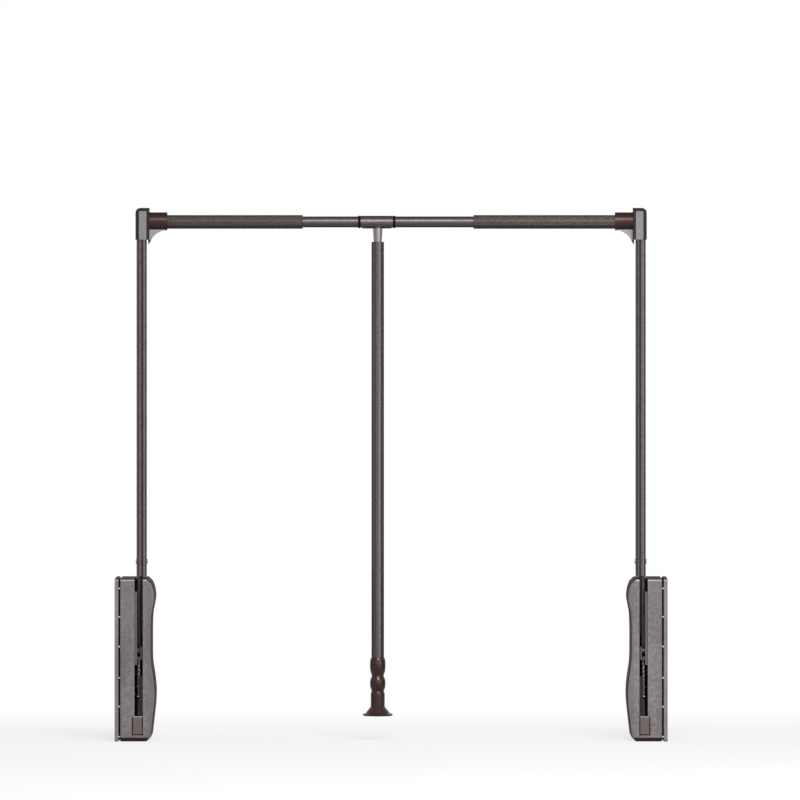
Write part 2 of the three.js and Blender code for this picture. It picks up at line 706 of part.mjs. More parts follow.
function makeArmTube() {
  const halfWidth = armWidth / 2;
  const halfDepth = armDepth / 2;
  const outline = new THREE.Shape();
  const corner = armCorner;
  const grooveStart = armGrooveOffset - armGrooveWidth / 2;
  const grooveEnd = armGrooveOffset + armGrooveWidth / 2;
  outline.moveTo(-halfWidth + corner, -halfDepth);
  outline.lineTo(grooveStart, -halfDepth);
  outline.lineTo(grooveStart, -halfDepth + armGrooveDepth);
  outline.lineTo(grooveEnd, -halfDepth + armGrooveDepth);
  outline.lineTo(grooveEnd, -halfDepth);
  outline.lineTo(halfWidth - corner, -halfDepth);
  outline.absarc(halfWidth - corner, -halfDepth + corner, corner, -Math.PI / 2, 0, false);
  outline.lineTo(halfWidth, halfDepth - corner);
  outline.absarc(halfWidth - corner, halfDepth - corner, corner, 0, Math.PI / 2, false);
  outline.lineTo(grooveEnd, halfDepth);
  outline.lineTo(grooveEnd, halfDepth - armGrooveDepth);
  outline.lineTo(grooveStart, halfDepth - armGrooveDepth);
  outline.lineTo(grooveStart, halfDepth);
  outline.lineTo(-halfWidth + corner, halfDepth);
  outline.absarc(-halfWidth + corner, halfDepth - corner, corner, Math.PI / 2, Math.PI, false);
  outline.lineTo(-halfWidth, -halfDepth + corner);
  outline.absarc(-halfWidth + corner, -halfDepth + corner, corner, Math.PI, Math.PI * 1.5, false);
  const tube = new THREE.ExtrudeGeometry(outline, {
    depth: armEndRadius - armStartRadius, bevelEnabled: false, curveSegments: 5,
  }).translate(0, 0, armStartRadius);
  const inside = new THREE.ExtrudeGeometry(
    roundedRectangle(-halfWidth + armWall, halfWidth - armWall, -halfDepth + armWall, halfDepth - armWall,
      armCorner - armWall),
    { depth: armEndRadius - armStartRadius + 2 * overrun, bevelEnabled: false, curveSegments: 3 },
  ).translate(0, 0, armStartRadius - overrun);
  const rivetZ = armStartRadius + rivetAlongLever;
  const rivetBore = discX(rivetRadius + clearance, -armWidth, armWidth, 0, rivetZ, smallSides);
  return cut(tube, inside, rivetBore);
}

function makeArmInsert() {
  const start = leverOuterFace + leverThick + clearance - armX;
  const end = armWidth / 2 - armWall - clearance;
  const halfDepth = armDepth / 2 - armWall - clearance - (armCorner - armWall) / 2;
  const body = block(start, end, -halfDepth, halfDepth, armStartRadius, armStartRadius + leverInArm);
  const tailEnd = mechanismX + slotWidth / 2 - 2 * clearance - armX;
  const tailHalf = leverWidth / 2 - insertTailInset;
  const tail = block(start, tailEnd, -tailHalf, tailHalf, insertTailStart, armStartRadius + rivetAlongLever / 2);
  const rivetZ = armStartRadius + rivetAlongLever;
  const bore = discX(rivetRadius + clearance, -armWidth, armWidth, 0, rivetZ, smallSides);
  return cut(join(body, tail), bore);
}

function makeRivet() {
  const half = armWidth / 2 + clearance;
  const headFace = half + rivetHead;
  const crown = rivetHeadRadius * rivetCrownShare;
  return turned([
    [0, -headFace], [crown, -headFace], [rivetHeadRadius, -half], [rivetRadius, -half],
    [rivetRadius, half], [rivetHeadRadius, half], [crown, headFace], [0, headFace],
  ], smallSides).rotateY(Math.PI / 2);
}

// Corner bracket: a socket on the arm's top end, a socket for the tube and a gusset between them

const bracketHalfDepth = armDepth / 2 + clearance + bracketWall;

function makeCornerBracket() {
  const left = -armWidth / 2 - clearance - bracketOuterWall;
  const right = armWidth / 2 + clearance + bracketInnerWall;
  const outline = new THREE.Shape();
  outline.moveTo(left, bracketBottom);
  outline.lineTo(right, bracketBottom);
  outline.lineTo(right, bracketTop);
  outline.lineTo(left + bracketRound, bracketTop);
  outline.absarc(left + bracketRound, bracketTop - bracketRound, bracketRound, Math.PI / 2, Math.PI, false);
  outline.lineTo(left, bracketBottom);
  const body = prismY(outline, -bracketHalfDepth, bracketHalfDepth, 0, 6);
  const socketEnd = bracketSocketEnd - armX;
  const socket = discX(bracketSocketRadius, 0, socketEnd, 0, rodRadius + bracketSocketRise, fineSides);
  const span = socketEnd - right;
  const gussetPoints = [
    [right - bracketWall, bracketTop - gussetTail],
    [right - bracketWall, rodRadius - gussetDrop],
    ...gussetShares.map(([across, down]) => [right + span * across, rodRadius - gussetDrop * down]).reverse(),
    [socketEnd, rodRadius],
  ];
  const gusset = prismY(polygon(gussetPoints), -bracketGussetHalf, bracketGussetHalf, 0, 1);
  const armRoom = new THREE.ExtrudeGeometry(
    roundedRectangle(-armWidth / 2 - clearance, armWidth / 2 + clearance, -armDepth / 2 - clearance,
      armDepth / 2 + clearance, armCorner),
    { depth: armEndRadius - bracketBottom + clearance + gussetDrop, bevelEnabled: false, curveSegments: 5 },
  ).translate(0, 0, bracketBottom - gussetDrop);
  const bore = discX(
    outerTubeRadius + clearance, bracketBoreStart - armX, socketEnd + overrun, 0, rodRadius, fineSides,
  );
  return cut(join(body, socket, gusset), armRoom, bore);
}

function makeBracketCover() {
  const half = coverStripWidth / 2;
  const face = -bracketHalfDepth - clearance;
  const shape = roundedRectangle(
    coverStripOffset - half, coverStripOffset + half, bracketBottom, bracketTop - coverStripTopInset, coverStripThick,
  );
  return prismY(shape, face - coverStripThick, face, coverStripThick / 3, 2);
}

// Outer tube: fluted along its length

function makeOuterTube(hand) {
  const outline = new THREE.Shape();
  const points = fluteCount * 2;
  for (let step = 0; step <= points; step += 1) {
    const angle = (step / points) * Math.PI * 2;
    const radius = step % 2 === 0 ? outerTubeRadius : outerTubeRadius - fluteDepth;
    const y = Math.cos(angle) * radius;
    const z = Math.sin(angle) * radius;
    if (step === 0) outline.moveTo(y, z);
    else outline.lineTo(y, z);
  }
  const start = bracketBoreStart + clearance + (1 - hand) * rodShift;
  const end = start + outerTubeLength;
  return cut(prismX(outline, start, end), discX(outerTubeBore, start - overrun, end + overrun, 0, 0, plainSides));
}

// One side: everything that hangs on one wall of the wardrobe

function makeSide(side, hand) {
  const group = new THREE.Group();
  const add = (name, ...rest) => group.add(piece(`${side}_${name}`, ...rest));
  const screwZ = [0, standoffSpread].map((up) => up - standoffBelowPivot);
  const guideRodBottom = springSeatZ - guideRodEngaged;
  const travel = crankRadius * (Math.cos(crankLead) - Math.cos(crankLead + openAngle));
  const rodTop = crankPinZ + carriageBaseTop - clearance;
  const springTop = crankPinZ + carriageBaseBottom - clearance;
  const tubeBottom = slotBottom + clearance;

  add('wall_plate', makeWallPlate(), 'plate');
  add('housing_cover', makeCover(), 'cover');
  add('chassis', makeChassis(), 'steel');
  const screw = () => makeScrew(chassisScrewRadius, chassisScrewHeadRadius, chassisScrewHead, chassisScrewLength)
    .rotateY(Math.PI / 2);
  const screwSeat = chassisOuterX + chassisPlate + clearance;
  add('chassis_screw_lower', screw(), 'bright', screwSeat, standoffBehindPivot, screwZ[0]);
  add('chassis_screw_upper', screw(), 'bright', screwSeat, standoffBehindPivot, screwZ[1]);
  add('outer_bush', makeBush(outerJournalRadius, chassisPlate + clearance), 'black', chassisOuterX);
  const innerBush = makeBush(innerJournalRadius, chassisPlate + clearance).rotateZ(Math.PI);
  add('inner_bush', innerBush, 'black', chassisInnerX + chassisPlate);
  const tubeTop = springSeatZ - clearance;
  const guideTube = tubeZ(guideTubeRadius, guideRodRadius + clearance, tubeBottom, tubeTop, plainSides);
  add('guide_tube', guideTube, 'steel', mechanismX, springY);
  add('spring_seat', makeSpringSeat(), 'bright', mechanismX, springY, springSeatZ);
  add('balance_spring', makeSpring(springSeatZ + clearance, springTop, hand), 'steel', mechanismX, springY);
  add('foot_block', makeFootBlock(guideRodBottom - travel), 'brass', footBlockX);
  add('upper_buffer', makeUpperBuffer(), 'rubber', mechanismX);
  add('lower_buffer', makeLowerBuffer(), 'rubber', mechanismX);
  add('damper', makeDamper(), 'black', chassisInnerX + chassisPlate + 2 * clearance);

  add('pivot_shaft', makePivotShaft(), 'bright');
  add('lever', makeLever(), 'steel', mechanismX);
  const crankPin = discX(crankPinRadius, -carriageOuter, carriageOuter, 0, 0, smallSides);
  add('crank_pin', crankPin, 'bright', mechanismX, crankPinY, crankPinZ);
  add('arm_tube', makeArmTube(), 'mocha', armX);
  add('arm_insert', makeArmInsert(), 'black', armX);
  add('arm_rivet', makeRivet(), 'bright', armX, 0, armStartRadius + rivetAlongLever);
  add('corner_bracket', makeCornerBracket(), 'mocha', armX);
  add('bracket_cover', makeBracketCover(), 'strip', armX);
  add('outer_tube', makeOuterTube(hand), 'mocha', 0, 0, rodRadius);

  add('carriage', makeCarriage(), 'black', mechanismX, 0, crankPinZ);
  add('guide_rod', discZ(guideRodRadius, 0, 0, guideRodBottom, rodTop, smallSides), 'bright', mechanismX, springY);
  return group;
}

// Handle connector: a sleeve on the hanging rod, a neck and a spigot inside the pull rod

function makeConnector() {
  const half = sleeveLength / 2;
  const low = -sleeveDrop;
  const sleeve = discX(sleeveRadius, -half, half, 0, low, fineSides);
  const neck = turned([
    [0, neckBottom - rodRadius - spigotLength],
    [spigotRadius, neckBottom - rodRadius - spigotLength],
    [spigotRadius, neckBottom - rodRadius],
    [neckRadius, neckBottom - rodRadius],
    [neckRadius, pullRodTop - rodRadius],
    [neckTopRadius, -sleeveRadius],
    [neckTopRadius, low],
    [0, low],
  ], plainSides);
  const chamfers = [-1, 1].map((way) => {
    const edge = polygon([
      [way * (half + overrun), low - sleeveRadius - overrun],
      [way * (half + overrun), low - sleeveRadius + sleeveChamfer / 2 + overrun / 2],
      [way * (half - sleeveChamfer), low - sleeveRadius],
      [way * (half - sleeveChamfer - overrun), low - sleeveRadius - overrun],
    ]);
    return prismY(edge, -sleeveRadius - overrun, sleeveRadius + overrun, 0, 1);
  });
  const bore = discX(innerTubeRadius + clearance, -sleeveLength, sleeveLength, 0, 0, fineSides);
  const pinBore = discX(handlePinRadius + clearance, -sleeveRadius * 2, sleeveRadius * 2, 0,
    pullRodTop - rodRadius - handlePinBelowTop, smallSides);
  const chamfered = cut(sleeve, ...chamfers).translate(sleeveOffset, 0, 0);
  return cut(join(chamfered, neck), bore, pinBore);
}

function makePullRod() {
  const tube = tubeZ(pullRodRadius, pullRodRadius - pullRodWall, pullRodBottom, pullRodTop, fineSides);
  const bore = discX(handlePinRadius + clearance, -pullRodRadius * 2, pullRodRadius * 2, 0,
    pullRodTop - handlePinBelowTop, smallSides);
  return cut(tube, bore);
}

// Grip: two bulges and a straight tail, turned, with a spigot up inside the pull rod

const gripTop = pullRodBottom - clearance;
const gripBottom = gripTop - gripHeight;
const gripShares = [
  [0.45, 0.0], [0.86, 0.035], [1, 0.11], [1, 0.2], [0.75, 0.28], [0.2, 0.34], [0, 0.378],
  [0.3, 0.41], [0.85, 0.46], [1, 0.52], [0.85, 0.6], [0.3, 0.66], [0.05, 0.69],
]; // share of the swell from the neck's radius to the grip's, and share of the height, downwards

function makeGrip() {
  const swell = gripRadius - gripNeckRadius;
  const inside = pullRodRadius - pullRodWall - clearance;
  const profile = [
    [0, gripTop + gripSpigot],
    [inside, gripTop + gripSpigot],
    [inside, gripTop],
    ...gripShares.map(([out, down]) => [gripNeckRadius + swell * out, gripTop - gripHeight * down]),
    [gripTailRadius, gripTop - gripHeight * gripTailShare],
    [gripTailRadius, gripBottom],
    [0, gripBottom],
  ];
  const bore = discZ(handleScrewRadius + clearance, 0, 0, gripBottom - overrun,
    gripBottom + handleScrewLength - flangeCone, smallSides);
  return cut(turned(profile.reverse(), plainSides), bore);
}

function makeFlange() {
  const top = gripBottom - clearance;
  const rim = top - flangeCone;
  const bottom = rim - flangeThick;
  const inner = handleScrewRadius + clearance;
  const head = handleScrewHeadRadius + clearance;
  const headRoom = bottom + handleScrewHead + 2 * clearance;
  return turned([
    [inner, headRoom], [head, headRoom], [head, bottom], [flangeRadius - flangeThick / 3, bottom],
    [flangeRadius, bottom + flangeThick / 3], [flangeRadius, rim],
    ...flangeFlareShares.map(([out, up]) => [gripTailRadius * out, rim + flangeCone * up]),
    [gripTailRadius, top], [inner, top], [inner, headRoom],
  ], plainSides);
}

// Middle: the inner tube, its two collars, and the handle that swivels between them

function makeMiddle() {
  const group = new THREE.Group();
  const add = (...rest) => group.add(piece(...rest));
  const middle = overallWidth / 2 - rodShift;
  const tubeHalf = innerTubeLength / 2;
  add('inner_tube', tubeX(innerTubeRadius, innerTubeRadius - innerTubeWall, -tubeHalf, tubeHalf, fineSides),
    'mocha', middle, 0, rodRadius);
  const sleeveX = handleX + sleeveOffset;
  const collar = tubeX(collarRadius, innerTubeRadius + clearance, 0, collarWidth, plainSides);
  const sleeveHalf = sleeveLength / 2;
  add('left_collar', collar, 'black', sleeveX - sleeveHalf - clearance - collarWidth, 0, rodRadius);
  add('right_collar', collar.clone(), 'black', sleeveX + sleeveHalf + clearance, 0, rodRadius);
  add('handle_connector', makeConnector(), 'mocha', handleX, 0, rodRadius);
  const pinHalf = pullRodRadius;
  add('handle_pin', discX(handlePinRadius, -pinHalf, pinHalf, 0, 0, smallSides), 'bright',
    handleX, 0, pullRodTop - handlePinBelowTop);
  add('pull_rod', makePullRod(), 'mocha', handleX);
  add('grip', makeGrip(), 'grip', handleX);
  add('grip_flange', makeFlange(), 'grip', handleX);
  const screw = makeScrew(handleScrewRadius, handleScrewHeadRadius, handleScrewHead, handleScrewLength - clearance);
  const screwSeat = gripBottom - flangeCone - flangeThick + handleScrewHead + clearance;
  add('grip_screw', screw.rotateX(Math.PI), 'bright', handleX, 0, screwSeat);
  return group;
}

const closetRod = new THREE.Group();
closetRod.add(makeSide('left', 1));
const rightSide = makeSide('right', -1);
rightSide.position.x = overallWidth;
rightSide.scale.x = -1;
closetRod.add(rightSide);
closetRod.add(makeMiddle());

export default closetRod;
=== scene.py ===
# %% [markdown]
# # Pull down closet rod
# A wardrobe lift has a spring housing on each side wall, two arms that swing forward, a telescopic rod
# between them for the hangers, and a pull handle that hangs from the rod. The measured model is loaded
# first, as a fixed frame. This lesson dresses it: each visible piece gets soft edges and a finish of its
# own.

# %% Load the measured model
import json
import math

import bmesh
import bpy
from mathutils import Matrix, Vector

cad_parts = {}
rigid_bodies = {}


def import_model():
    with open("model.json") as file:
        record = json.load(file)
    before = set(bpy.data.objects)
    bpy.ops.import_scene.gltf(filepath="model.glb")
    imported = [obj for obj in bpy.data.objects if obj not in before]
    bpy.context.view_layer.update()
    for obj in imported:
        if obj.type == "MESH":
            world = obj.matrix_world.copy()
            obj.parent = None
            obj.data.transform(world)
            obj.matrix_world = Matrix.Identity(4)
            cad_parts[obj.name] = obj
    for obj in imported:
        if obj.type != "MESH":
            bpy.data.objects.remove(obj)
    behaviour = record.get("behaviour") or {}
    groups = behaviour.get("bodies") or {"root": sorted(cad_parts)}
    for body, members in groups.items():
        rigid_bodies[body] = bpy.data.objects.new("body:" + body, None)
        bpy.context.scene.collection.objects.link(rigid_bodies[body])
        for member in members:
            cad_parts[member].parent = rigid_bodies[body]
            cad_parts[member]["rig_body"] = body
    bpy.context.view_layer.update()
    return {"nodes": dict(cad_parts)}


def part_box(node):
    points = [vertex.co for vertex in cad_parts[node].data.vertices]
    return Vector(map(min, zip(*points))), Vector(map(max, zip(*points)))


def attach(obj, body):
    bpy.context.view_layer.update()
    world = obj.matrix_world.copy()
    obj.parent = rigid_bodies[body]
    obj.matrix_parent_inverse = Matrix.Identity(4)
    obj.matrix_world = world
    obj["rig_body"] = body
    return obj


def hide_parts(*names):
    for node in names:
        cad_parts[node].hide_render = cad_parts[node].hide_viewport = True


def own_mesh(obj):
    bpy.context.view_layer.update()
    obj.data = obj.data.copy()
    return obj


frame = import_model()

# %% [markdown]
# ## Measures from the frame
# The lift stands between two walls, and nearly every place in it follows from its measured pieces. They
# could be typed in again, but then a change of the model would leave them behind, so they are read from the
# pieces' boxes. Blender counts in metres and a maker in millimetres, so places are kept in millimetres and
# become metres where a mesh is made.

# %% Measures from the frame
MM = 0.001


def span(node, axis):
    low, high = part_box(node)
    index = "XYZ".index(axis)
    return round(low[index] / MM, 3), round(high[index] / MM, 3)


def middle(node, axis):
    return sum(span(node, axis)) / 2


def radius(node):
    low, high = span(node, "Y")
    return (high - low) / 2


WALL_TO_WALL = span("right_wall_plate", "X")[1]
FRONT_Y = span("left_housing_cover", "Y")[0]
FLOOR_Z = span("left_housing_cover", "Z")[0]
ROD_Z, HANDLE_X = middle("inner_tube", "Z"), middle("pull_rod", "X")
print("walls", WALL_TO_WALL, "front", FRONT_Y, "floor", FLOOR_Z, "rod", ROD_Z, "handle", HANDLE_X)

# %% [markdown]
# ## Camera
# The photograph is taken almost straight on, from far away. The tops of the housings show as a thin line
# and their inner sides as a thinner one, and these two tell where the camera stood: about level with the
# rod. It could be tilted down to the middle of the object, but then upright lines would lean towards each
# other. So the camera stays level, and the frame is moved down on the sensor instead.

# %% Camera
CAMERA_AWAY = 13.5  # metres, from the housings' fronts
CAMERA_X, CAMERA_Z = 0.4567, 0.745  # metres
PICTURE_MIDDLE_Z, PICTURE_WIDTH = 0.4217, 1.28  # metres, in the plane of the housings' fronts
SENSOR_WIDTH = 36
camera_data = bpy.data.cameras.new("photo_camera")
camera_data.sensor_width = SENSOR_WIDTH
camera_data.lens = SENSOR_WIDTH * CAMERA_AWAY / PICTURE_WIDTH
camera_data.shift_y = (PICTURE_MIDDLE_Z - CAMERA_Z) / PICTURE_WIDTH
camera = bpy.data.objects.new("photo_camera", camera_data)
camera.location = (CAMERA_X, FRONT_Y * MM - CAMERA_AWAY, CAMERA_Z)
camera.rotation_euler = (math.radians(90), 0, 0)
bpy.context.scene.collection.objects.link(camera)
bpy.context.scene.camera = camera
bpy.context.scene.view_settings.view_transform = "Standard"
print("lens", round(camera_data.lens, 1), "shift", round(camera_data.shift_y, 4))

# %% [markdown]
# ## Lamps
# Soft studio light comes from large lamps. A wide one, low in front, fills the flat faces. One high above
# it and further off puts the line of light on the upper third of the rod. One on the right and a weaker
# one on the left light the sides of the upright pieces, and one behind the backdrop keeps the back from
# going black. A bright world would be simpler, but a tube looks round by its line of light, and that
# takes a lamp brighter than all that stands round it.

# %% Lamps
LAMP_AIM = Vector((0.442, 0, 0.33))
LAMPS = {  # place and size in metres, and watts
    "front_lamp": ((0.4, -2.2, 0.5), (2.4, 1.25), 8.5),
    "high_lamp": ((1.1, -3.3, 2.65), (2.4, 1.5), 140),
    "right_lamp": ((1.62, -1.6, 0.48), (1.1, 1.2), 11),
    "left_lamp": ((-2.6, -0.2, 0.6), (1.0, 2.2), 7),
    "back_lamp": ((0.44, 4.2, 1.8), (3.0, 2.0), 60),
}
for name, (place, size, watts) in LAMPS.items():
    data = bpy.data.lights.new(name, "AREA")
    data.shape = "RECTANGLE"
    data.size, data.size_y = size
    data.energy = watts
    lamp = bpy.data.objects.new(name, data)
    lamp.location = place
    lamp.rotation_euler = (LAMP_AIM - Vector(place)).to_track_quat("-Z", "Y").to_euler()
    lamp.visible_camera = False
    bpy.context.scene.collection.objects.link(lamp)
    print(name, watts, "W")

# %% [markdown]
# ## White surroundings
# The photograph's background is plain white, and white from more light would bleach the object too. A Light
# Path node tells what kind of ray asks for a colour. Rays from the camera, from a glossy surface and
# through a clear one see white, at strength 1, so that metal mirrors the same background that the picture
# has. All others meet a low, even light, so that no side of the object goes black.


# %% World
def rays_that_see_white(tree):
    rays = tree.nodes.new("ShaderNodeLightPath")
    seen = rays.outputs["Is Camera Ray"]
    for kind in ("Is Glossy Ray", "Is Transmission Ray"):
        larger = tree.nodes.new("ShaderNodeMath")
        larger.operation = "MAXIMUM"
        tree.links.new(seen, larger.inputs[0])
        tree.links.new(rays.outputs[kind], larger.inputs[1])
        seen = larger.outputs[0]
    return seen


world = bpy.data.worlds.new("studio")
world.use_nodes = True
bpy.context.scene.world = world
sky = world.node_tree
low_light = sky.nodes["Background"]
low_light.inputs["Color"].default_value = (0.92, 0.95, 1.0, 1)
low_light.inputs["Strength"].default_value = 0.12
plain_white = sky.nodes.new("ShaderNodeBackground")
plain_white.inputs["Color"].default_value = (1, 1, 1, 1)
either = sky.nodes.new("ShaderNodeMixShader")
sky.links.new(rays_that_see_white(sky), either.inputs["Fac"])
sky.links.new(low_light.outputs[0], either.inputs[1])
sky.links.new(plain_white.outputs[0], either.inputs[2])
sky.links.new(either.outputs[0], sky.nodes["World Output"].inputs["Surface"])
print("world nodes", len(sky.nodes))

# %% [markdown]
# ## Floor and backdrop
# The floor is a pale sheet that keeps the object's shadow. For the rays that see white, most of its colour
# is white light of its own, and behind the object it turns wholly white and runs into the backdrop without
# a line. Both sheets are one-sided: from behind or below they are clear, so that no other view is blocked
# by them.


# %% Floor and backdrop
def flat_sheet(name, corners):
    mesh = bpy.data.meshes.new(name)
    mesh.from_pydata(corners, [], [(0, 1, 2, 3)])
    sheet = bpy.data.objects.new(name, mesh)
    bpy.context.scene.collection.objects.link(sheet)
    return sheet


STAGE_LEFT, STAGE_RIGHT, STAGE_FRONT, STAGE_BACK = -13, 14, -16, 1.5  # in metres, as the backdrop's height
BACKDROP_LOW, BACKDROP_HIGH = -0.5, 3
level = FLOOR_Z * MM
floor = flat_sheet("floor", [
    (STAGE_LEFT, STAGE_FRONT, level), (STAGE_RIGHT, STAGE_FRONT, level),
    (STAGE_RIGHT, STAGE_BACK, level), (STAGE_LEFT, STAGE_BACK, level)])
backdrop = flat_sheet("backdrop", [
    (STAGE_LEFT, STAGE_BACK, BACKDROP_LOW), (STAGE_RIGHT, STAGE_BACK, BACKDROP_LOW),
    (STAGE_RIGHT, STAGE_BACK, BACKDROP_HIGH), (STAGE_LEFT, STAGE_BACK, BACKDROP_HIGH)])
print("stage", floor.name, backdrop.name)

# %% Materials of the stage
WHITENING_STARTS, WHITENING_ENDS = 0.0, 0.9  # metres behind the pivots


def share_of_white(tree, least_white):
    place = tree.nodes.new("ShaderNodeTexCoord")
    split = tree.nodes.new("ShaderNodeSeparateXYZ")
    tree.links.new(place.outputs["Object"], split.inputs[0])
    fade = tree.nodes.new("ShaderNodeMapRange")
    fade.interpolation_type = "SMOOTHSTEP"
    fade.inputs["From Min"].default_value = WHITENING_STARTS
    fade.inputs["From Max"].default_value = WHITENING_ENDS
    fade.inputs["To Min"].default_value = least_white
    tree.links.new(split.outputs["Y"], fade.inputs["Value"])
    amount = tree.nodes.new("ShaderNodeMath")
    amount.operation = "MULTIPLY"
    tree.links.new(rays_that_see_white(tree), amount.inputs[0])
    tree.links.new(fade.outputs["Result"], amount.inputs[1])
    return amount.outputs[0]


def mixed(tree, factor, first, second):
    mix = tree.nodes.new("ShaderNodeMixShader")
    tree.links.new(factor, mix.inputs["Fac"])
    tree.links.new(first, mix.inputs[1])
    tree.links.new(second, mix.inputs[2])
    return mix.outputs[0]


def stage_material(name, grey, least_white):
    material = bpy.data.materials.new(name)
    material.use_nodes = True
    tree = material.node_tree
    shader = tree.nodes["Principled BSDF"]
    shader.inputs["Base Color"].default_value = (grey, grey, grey, 1)
    shader.inputs["Roughness"].default_value = 0.9
    white = tree.nodes.new("ShaderNodeEmission")
    white.inputs["Strength"].default_value = 1.0
    sheet = mixed(tree, share_of_white(tree, least_white), shader.outputs[0], white.outputs[0])
    behind = tree.nodes.new("ShaderNodeNewGeometry")
    clear = tree.nodes.new("ShaderNodeBsdfTransparent")
    one_sided = mixed(tree, behind.outputs["Backfacing"], sheet, clear.outputs[0])
    tree.links.new(one_sided, tree.nodes["Material Output"].inputs["Surface"])
    return material


floor.data.materials.append(stage_material("pale_floor", grey=0.88, least_white=0.72))
backdrop.data.materials.append(stage_material("white_backdrop", grey=0.4, least_white=1.0))
print("floor", floor.data.materials[0].name, "backdrop", backdrop.data.materials[0].name)

# %% [markdown]
# ## Shared effects
# Three effects come back in many finishes, so each is a node group that is built once: the fine grain of
# moulded plastic and powder coat, the streaks that drawing or brushing leaves along a metal, and the light
# rim where handling has worn an edge. Photographs of surfaces could do the same, but noise in the object's
# own coordinates needs no picture and no unwrapping. A group gives out only what changes over the surface.
# The plain numbers stay on each material's own shader.


# %% Node group helpers
def new_group(name, inputs, outputs):
    group = bpy.data.node_groups.new(name, "ShaderNodeTree")
    for label, kind, value in inputs:
        socket = group.interface.new_socket(label, in_out="INPUT", socket_type=kind)
        socket.default_value = value
    for label, kind in outputs:
        group.interface.new_socket(label, in_out="OUTPUT", socket_type=kind)
    print("group", name)
    return group, group.nodes.new("NodeGroupInput"), group.nodes.new("NodeGroupOutput")


def noise_node(group, scale, detail, vector=None):
    noise = group.nodes.new("ShaderNodeTexNoise")
    noise.inputs["Detail"].default_value = detail
    if isinstance(scale, (int, float)):
        noise.inputs["Scale"].default_value = scale
    else:
        group.links.new(scale, noise.inputs["Scale"])
    if vector is None:
        vector = group.nodes.new("ShaderNodeTexCoord").outputs["Object"]
    group.links.new(vector, noise.inputs["Vector"])
    return noise.outputs["Fac"]


def colour_mix(group, factor, first, second):
    mix = group.nodes.new("ShaderNodeMix")
    mix.data_type = "RGBA"  # its colour sockets are inputs 6 and 7, and output 2
    group.links.new(factor, mix.inputs[0])
    group.links.new(first, mix.inputs[6])
    group.links.new(second, mix.inputs[7])
    return mix.outputs[2]


def spread(group, value, low, high, to_low=0.0, to_high=1.0):
    ramp = group.nodes.new("ShaderNodeMapRange")
    group.links.new(value, ramp.inputs["Value"])
    for socket, number in (("From Min", low), ("From Max", high), ("To Min", to_low), ("To Max", to_high)):
        if isinstance(number, (int, float)):
            ramp.inputs[socket].default_value = number
        else:
            group.links.new(number, ramp.inputs[socket])
    return ramp.outputs["Result"]


def product(group, first, second):
    times = group.nodes.new("ShaderNodeMath")
    times.operation = "MULTIPLY"
    group.links.new(first, times.inputs[0])
    group.links.new(second, times.inputs[1])
    return times.outputs[0]


# %% [markdown]
# ## Fine grain
# Moulded plastic and powder coat have a grain too fine to count and a faint cloudiness over a hand's width.
# One quick noise gives the height for the bump. A slow one drifts between two close colours, and between a
# duller and a glossier roughness.

# %% Group: fine grain
COLOUR, NUMBER, ARROW = "NodeSocketColor", "NodeSocketFloat", "NodeSocketVector"
MID_GREY, DEEP_GREY, PALE_GREY = (0.5, 0.5, 0.5, 1), (0.4, 0.4, 0.4, 1), (0.8, 0.8, 0.8, 1)
SURFACE_OUTPUTS = [("Colour", COLOUR), ("Roughness", NUMBER), ("Height", NUMBER)]
grain_group, given, out = new_group(
    "fine_grain",
    [("Colour", COLOUR, MID_GREY), ("Deep Colour", COLOUR, DEEP_GREY), ("Grain Scale", NUMBER, 900),
     ("Roughness Low", NUMBER, 0.4), ("Roughness High", NUMBER, 0.55)],
    SURFACE_OUTPUTS,
)
fine = noise_node(grain_group, given.outputs["Grain Scale"], detail=3)
cloudy = noise_node(grain_group, scale=14, detail=4)
tint = spread(grain_group, cloudy, 0.35, 0.65, to_high=0.75)
shaded = colour_mix(grain_group, tint, given.outputs["Colour"], given.outputs["Deep Colour"])
dulled = spread(grain_group, cloudy, 0.3, 0.7,
                given.outputs["Roughness Low"], given.outputs["Roughness High"])
grain_group.links.new(shaded, out.inputs["Colour"])
grain_group.links.new(dulled, out.inputs["Roughness"])
grain_group.links.new(spread(grain_group, fine, 0.35, 0.7), out.inputs["Height"])

# %% [markdown]
# ## Drawn streaks
# A tube is pulled through a ring when it is made, which leaves fine lines along it. The same noise gives
# them once its coordinates are stretched: many steps across the tube, few along it. A second, slow noise
# stands for the smudges of hands.

# %% Group: drawn streaks
streak_group, given, out = new_group(
    "drawn_streaks",
    [("Colour", COLOUR, MID_GREY), ("Deep Colour", COLOUR, DEEP_GREY),
     ("Stretch", ARROW, (400.0, 400.0, 6.0)),
     ("Roughness Low", NUMBER, 0.25), ("Roughness High", NUMBER, 0.4)],
    SURFACE_OUTPUTS,
)
place = streak_group.nodes.new("ShaderNodeTexCoord").outputs["Object"]
stretch = streak_group.nodes.new("ShaderNodeVectorMath")
stretch.operation = "MULTIPLY"
streak_group.links.new(place, stretch.inputs[0])
streak_group.links.new(given.outputs["Stretch"], stretch.inputs[1])
lines = noise_node(streak_group, scale=1.0, detail=2, vector=stretch.outputs[0])
smudge = noise_node(streak_group, scale=9, detail=3)
lined = spread(streak_group, lines, 0.3, 0.7)
shaded = colour_mix(streak_group, lined, given.outputs["Colour"], given.outputs["Deep Colour"])
dulled = spread(streak_group, smudge, 0.3, 0.7,
                given.outputs["Roughness Low"], given.outputs["Roughness High"])
streak_group.links.new(shaded, out.inputs["Colour"])
streak_group.links.new(dulled, out.inputs["Roughness"])
streak_group.links.new(lines, out.inputs["Height"])

# %% [markdown]
# ## Worn edges
# Handling polishes an edge, so it is a little lighter than the faces beside it. Pointiness finds the edges
# of a mesh, and a noise breaks the rim up, because wear is never even. The group lays the worn colour over
# the colour that it is given.

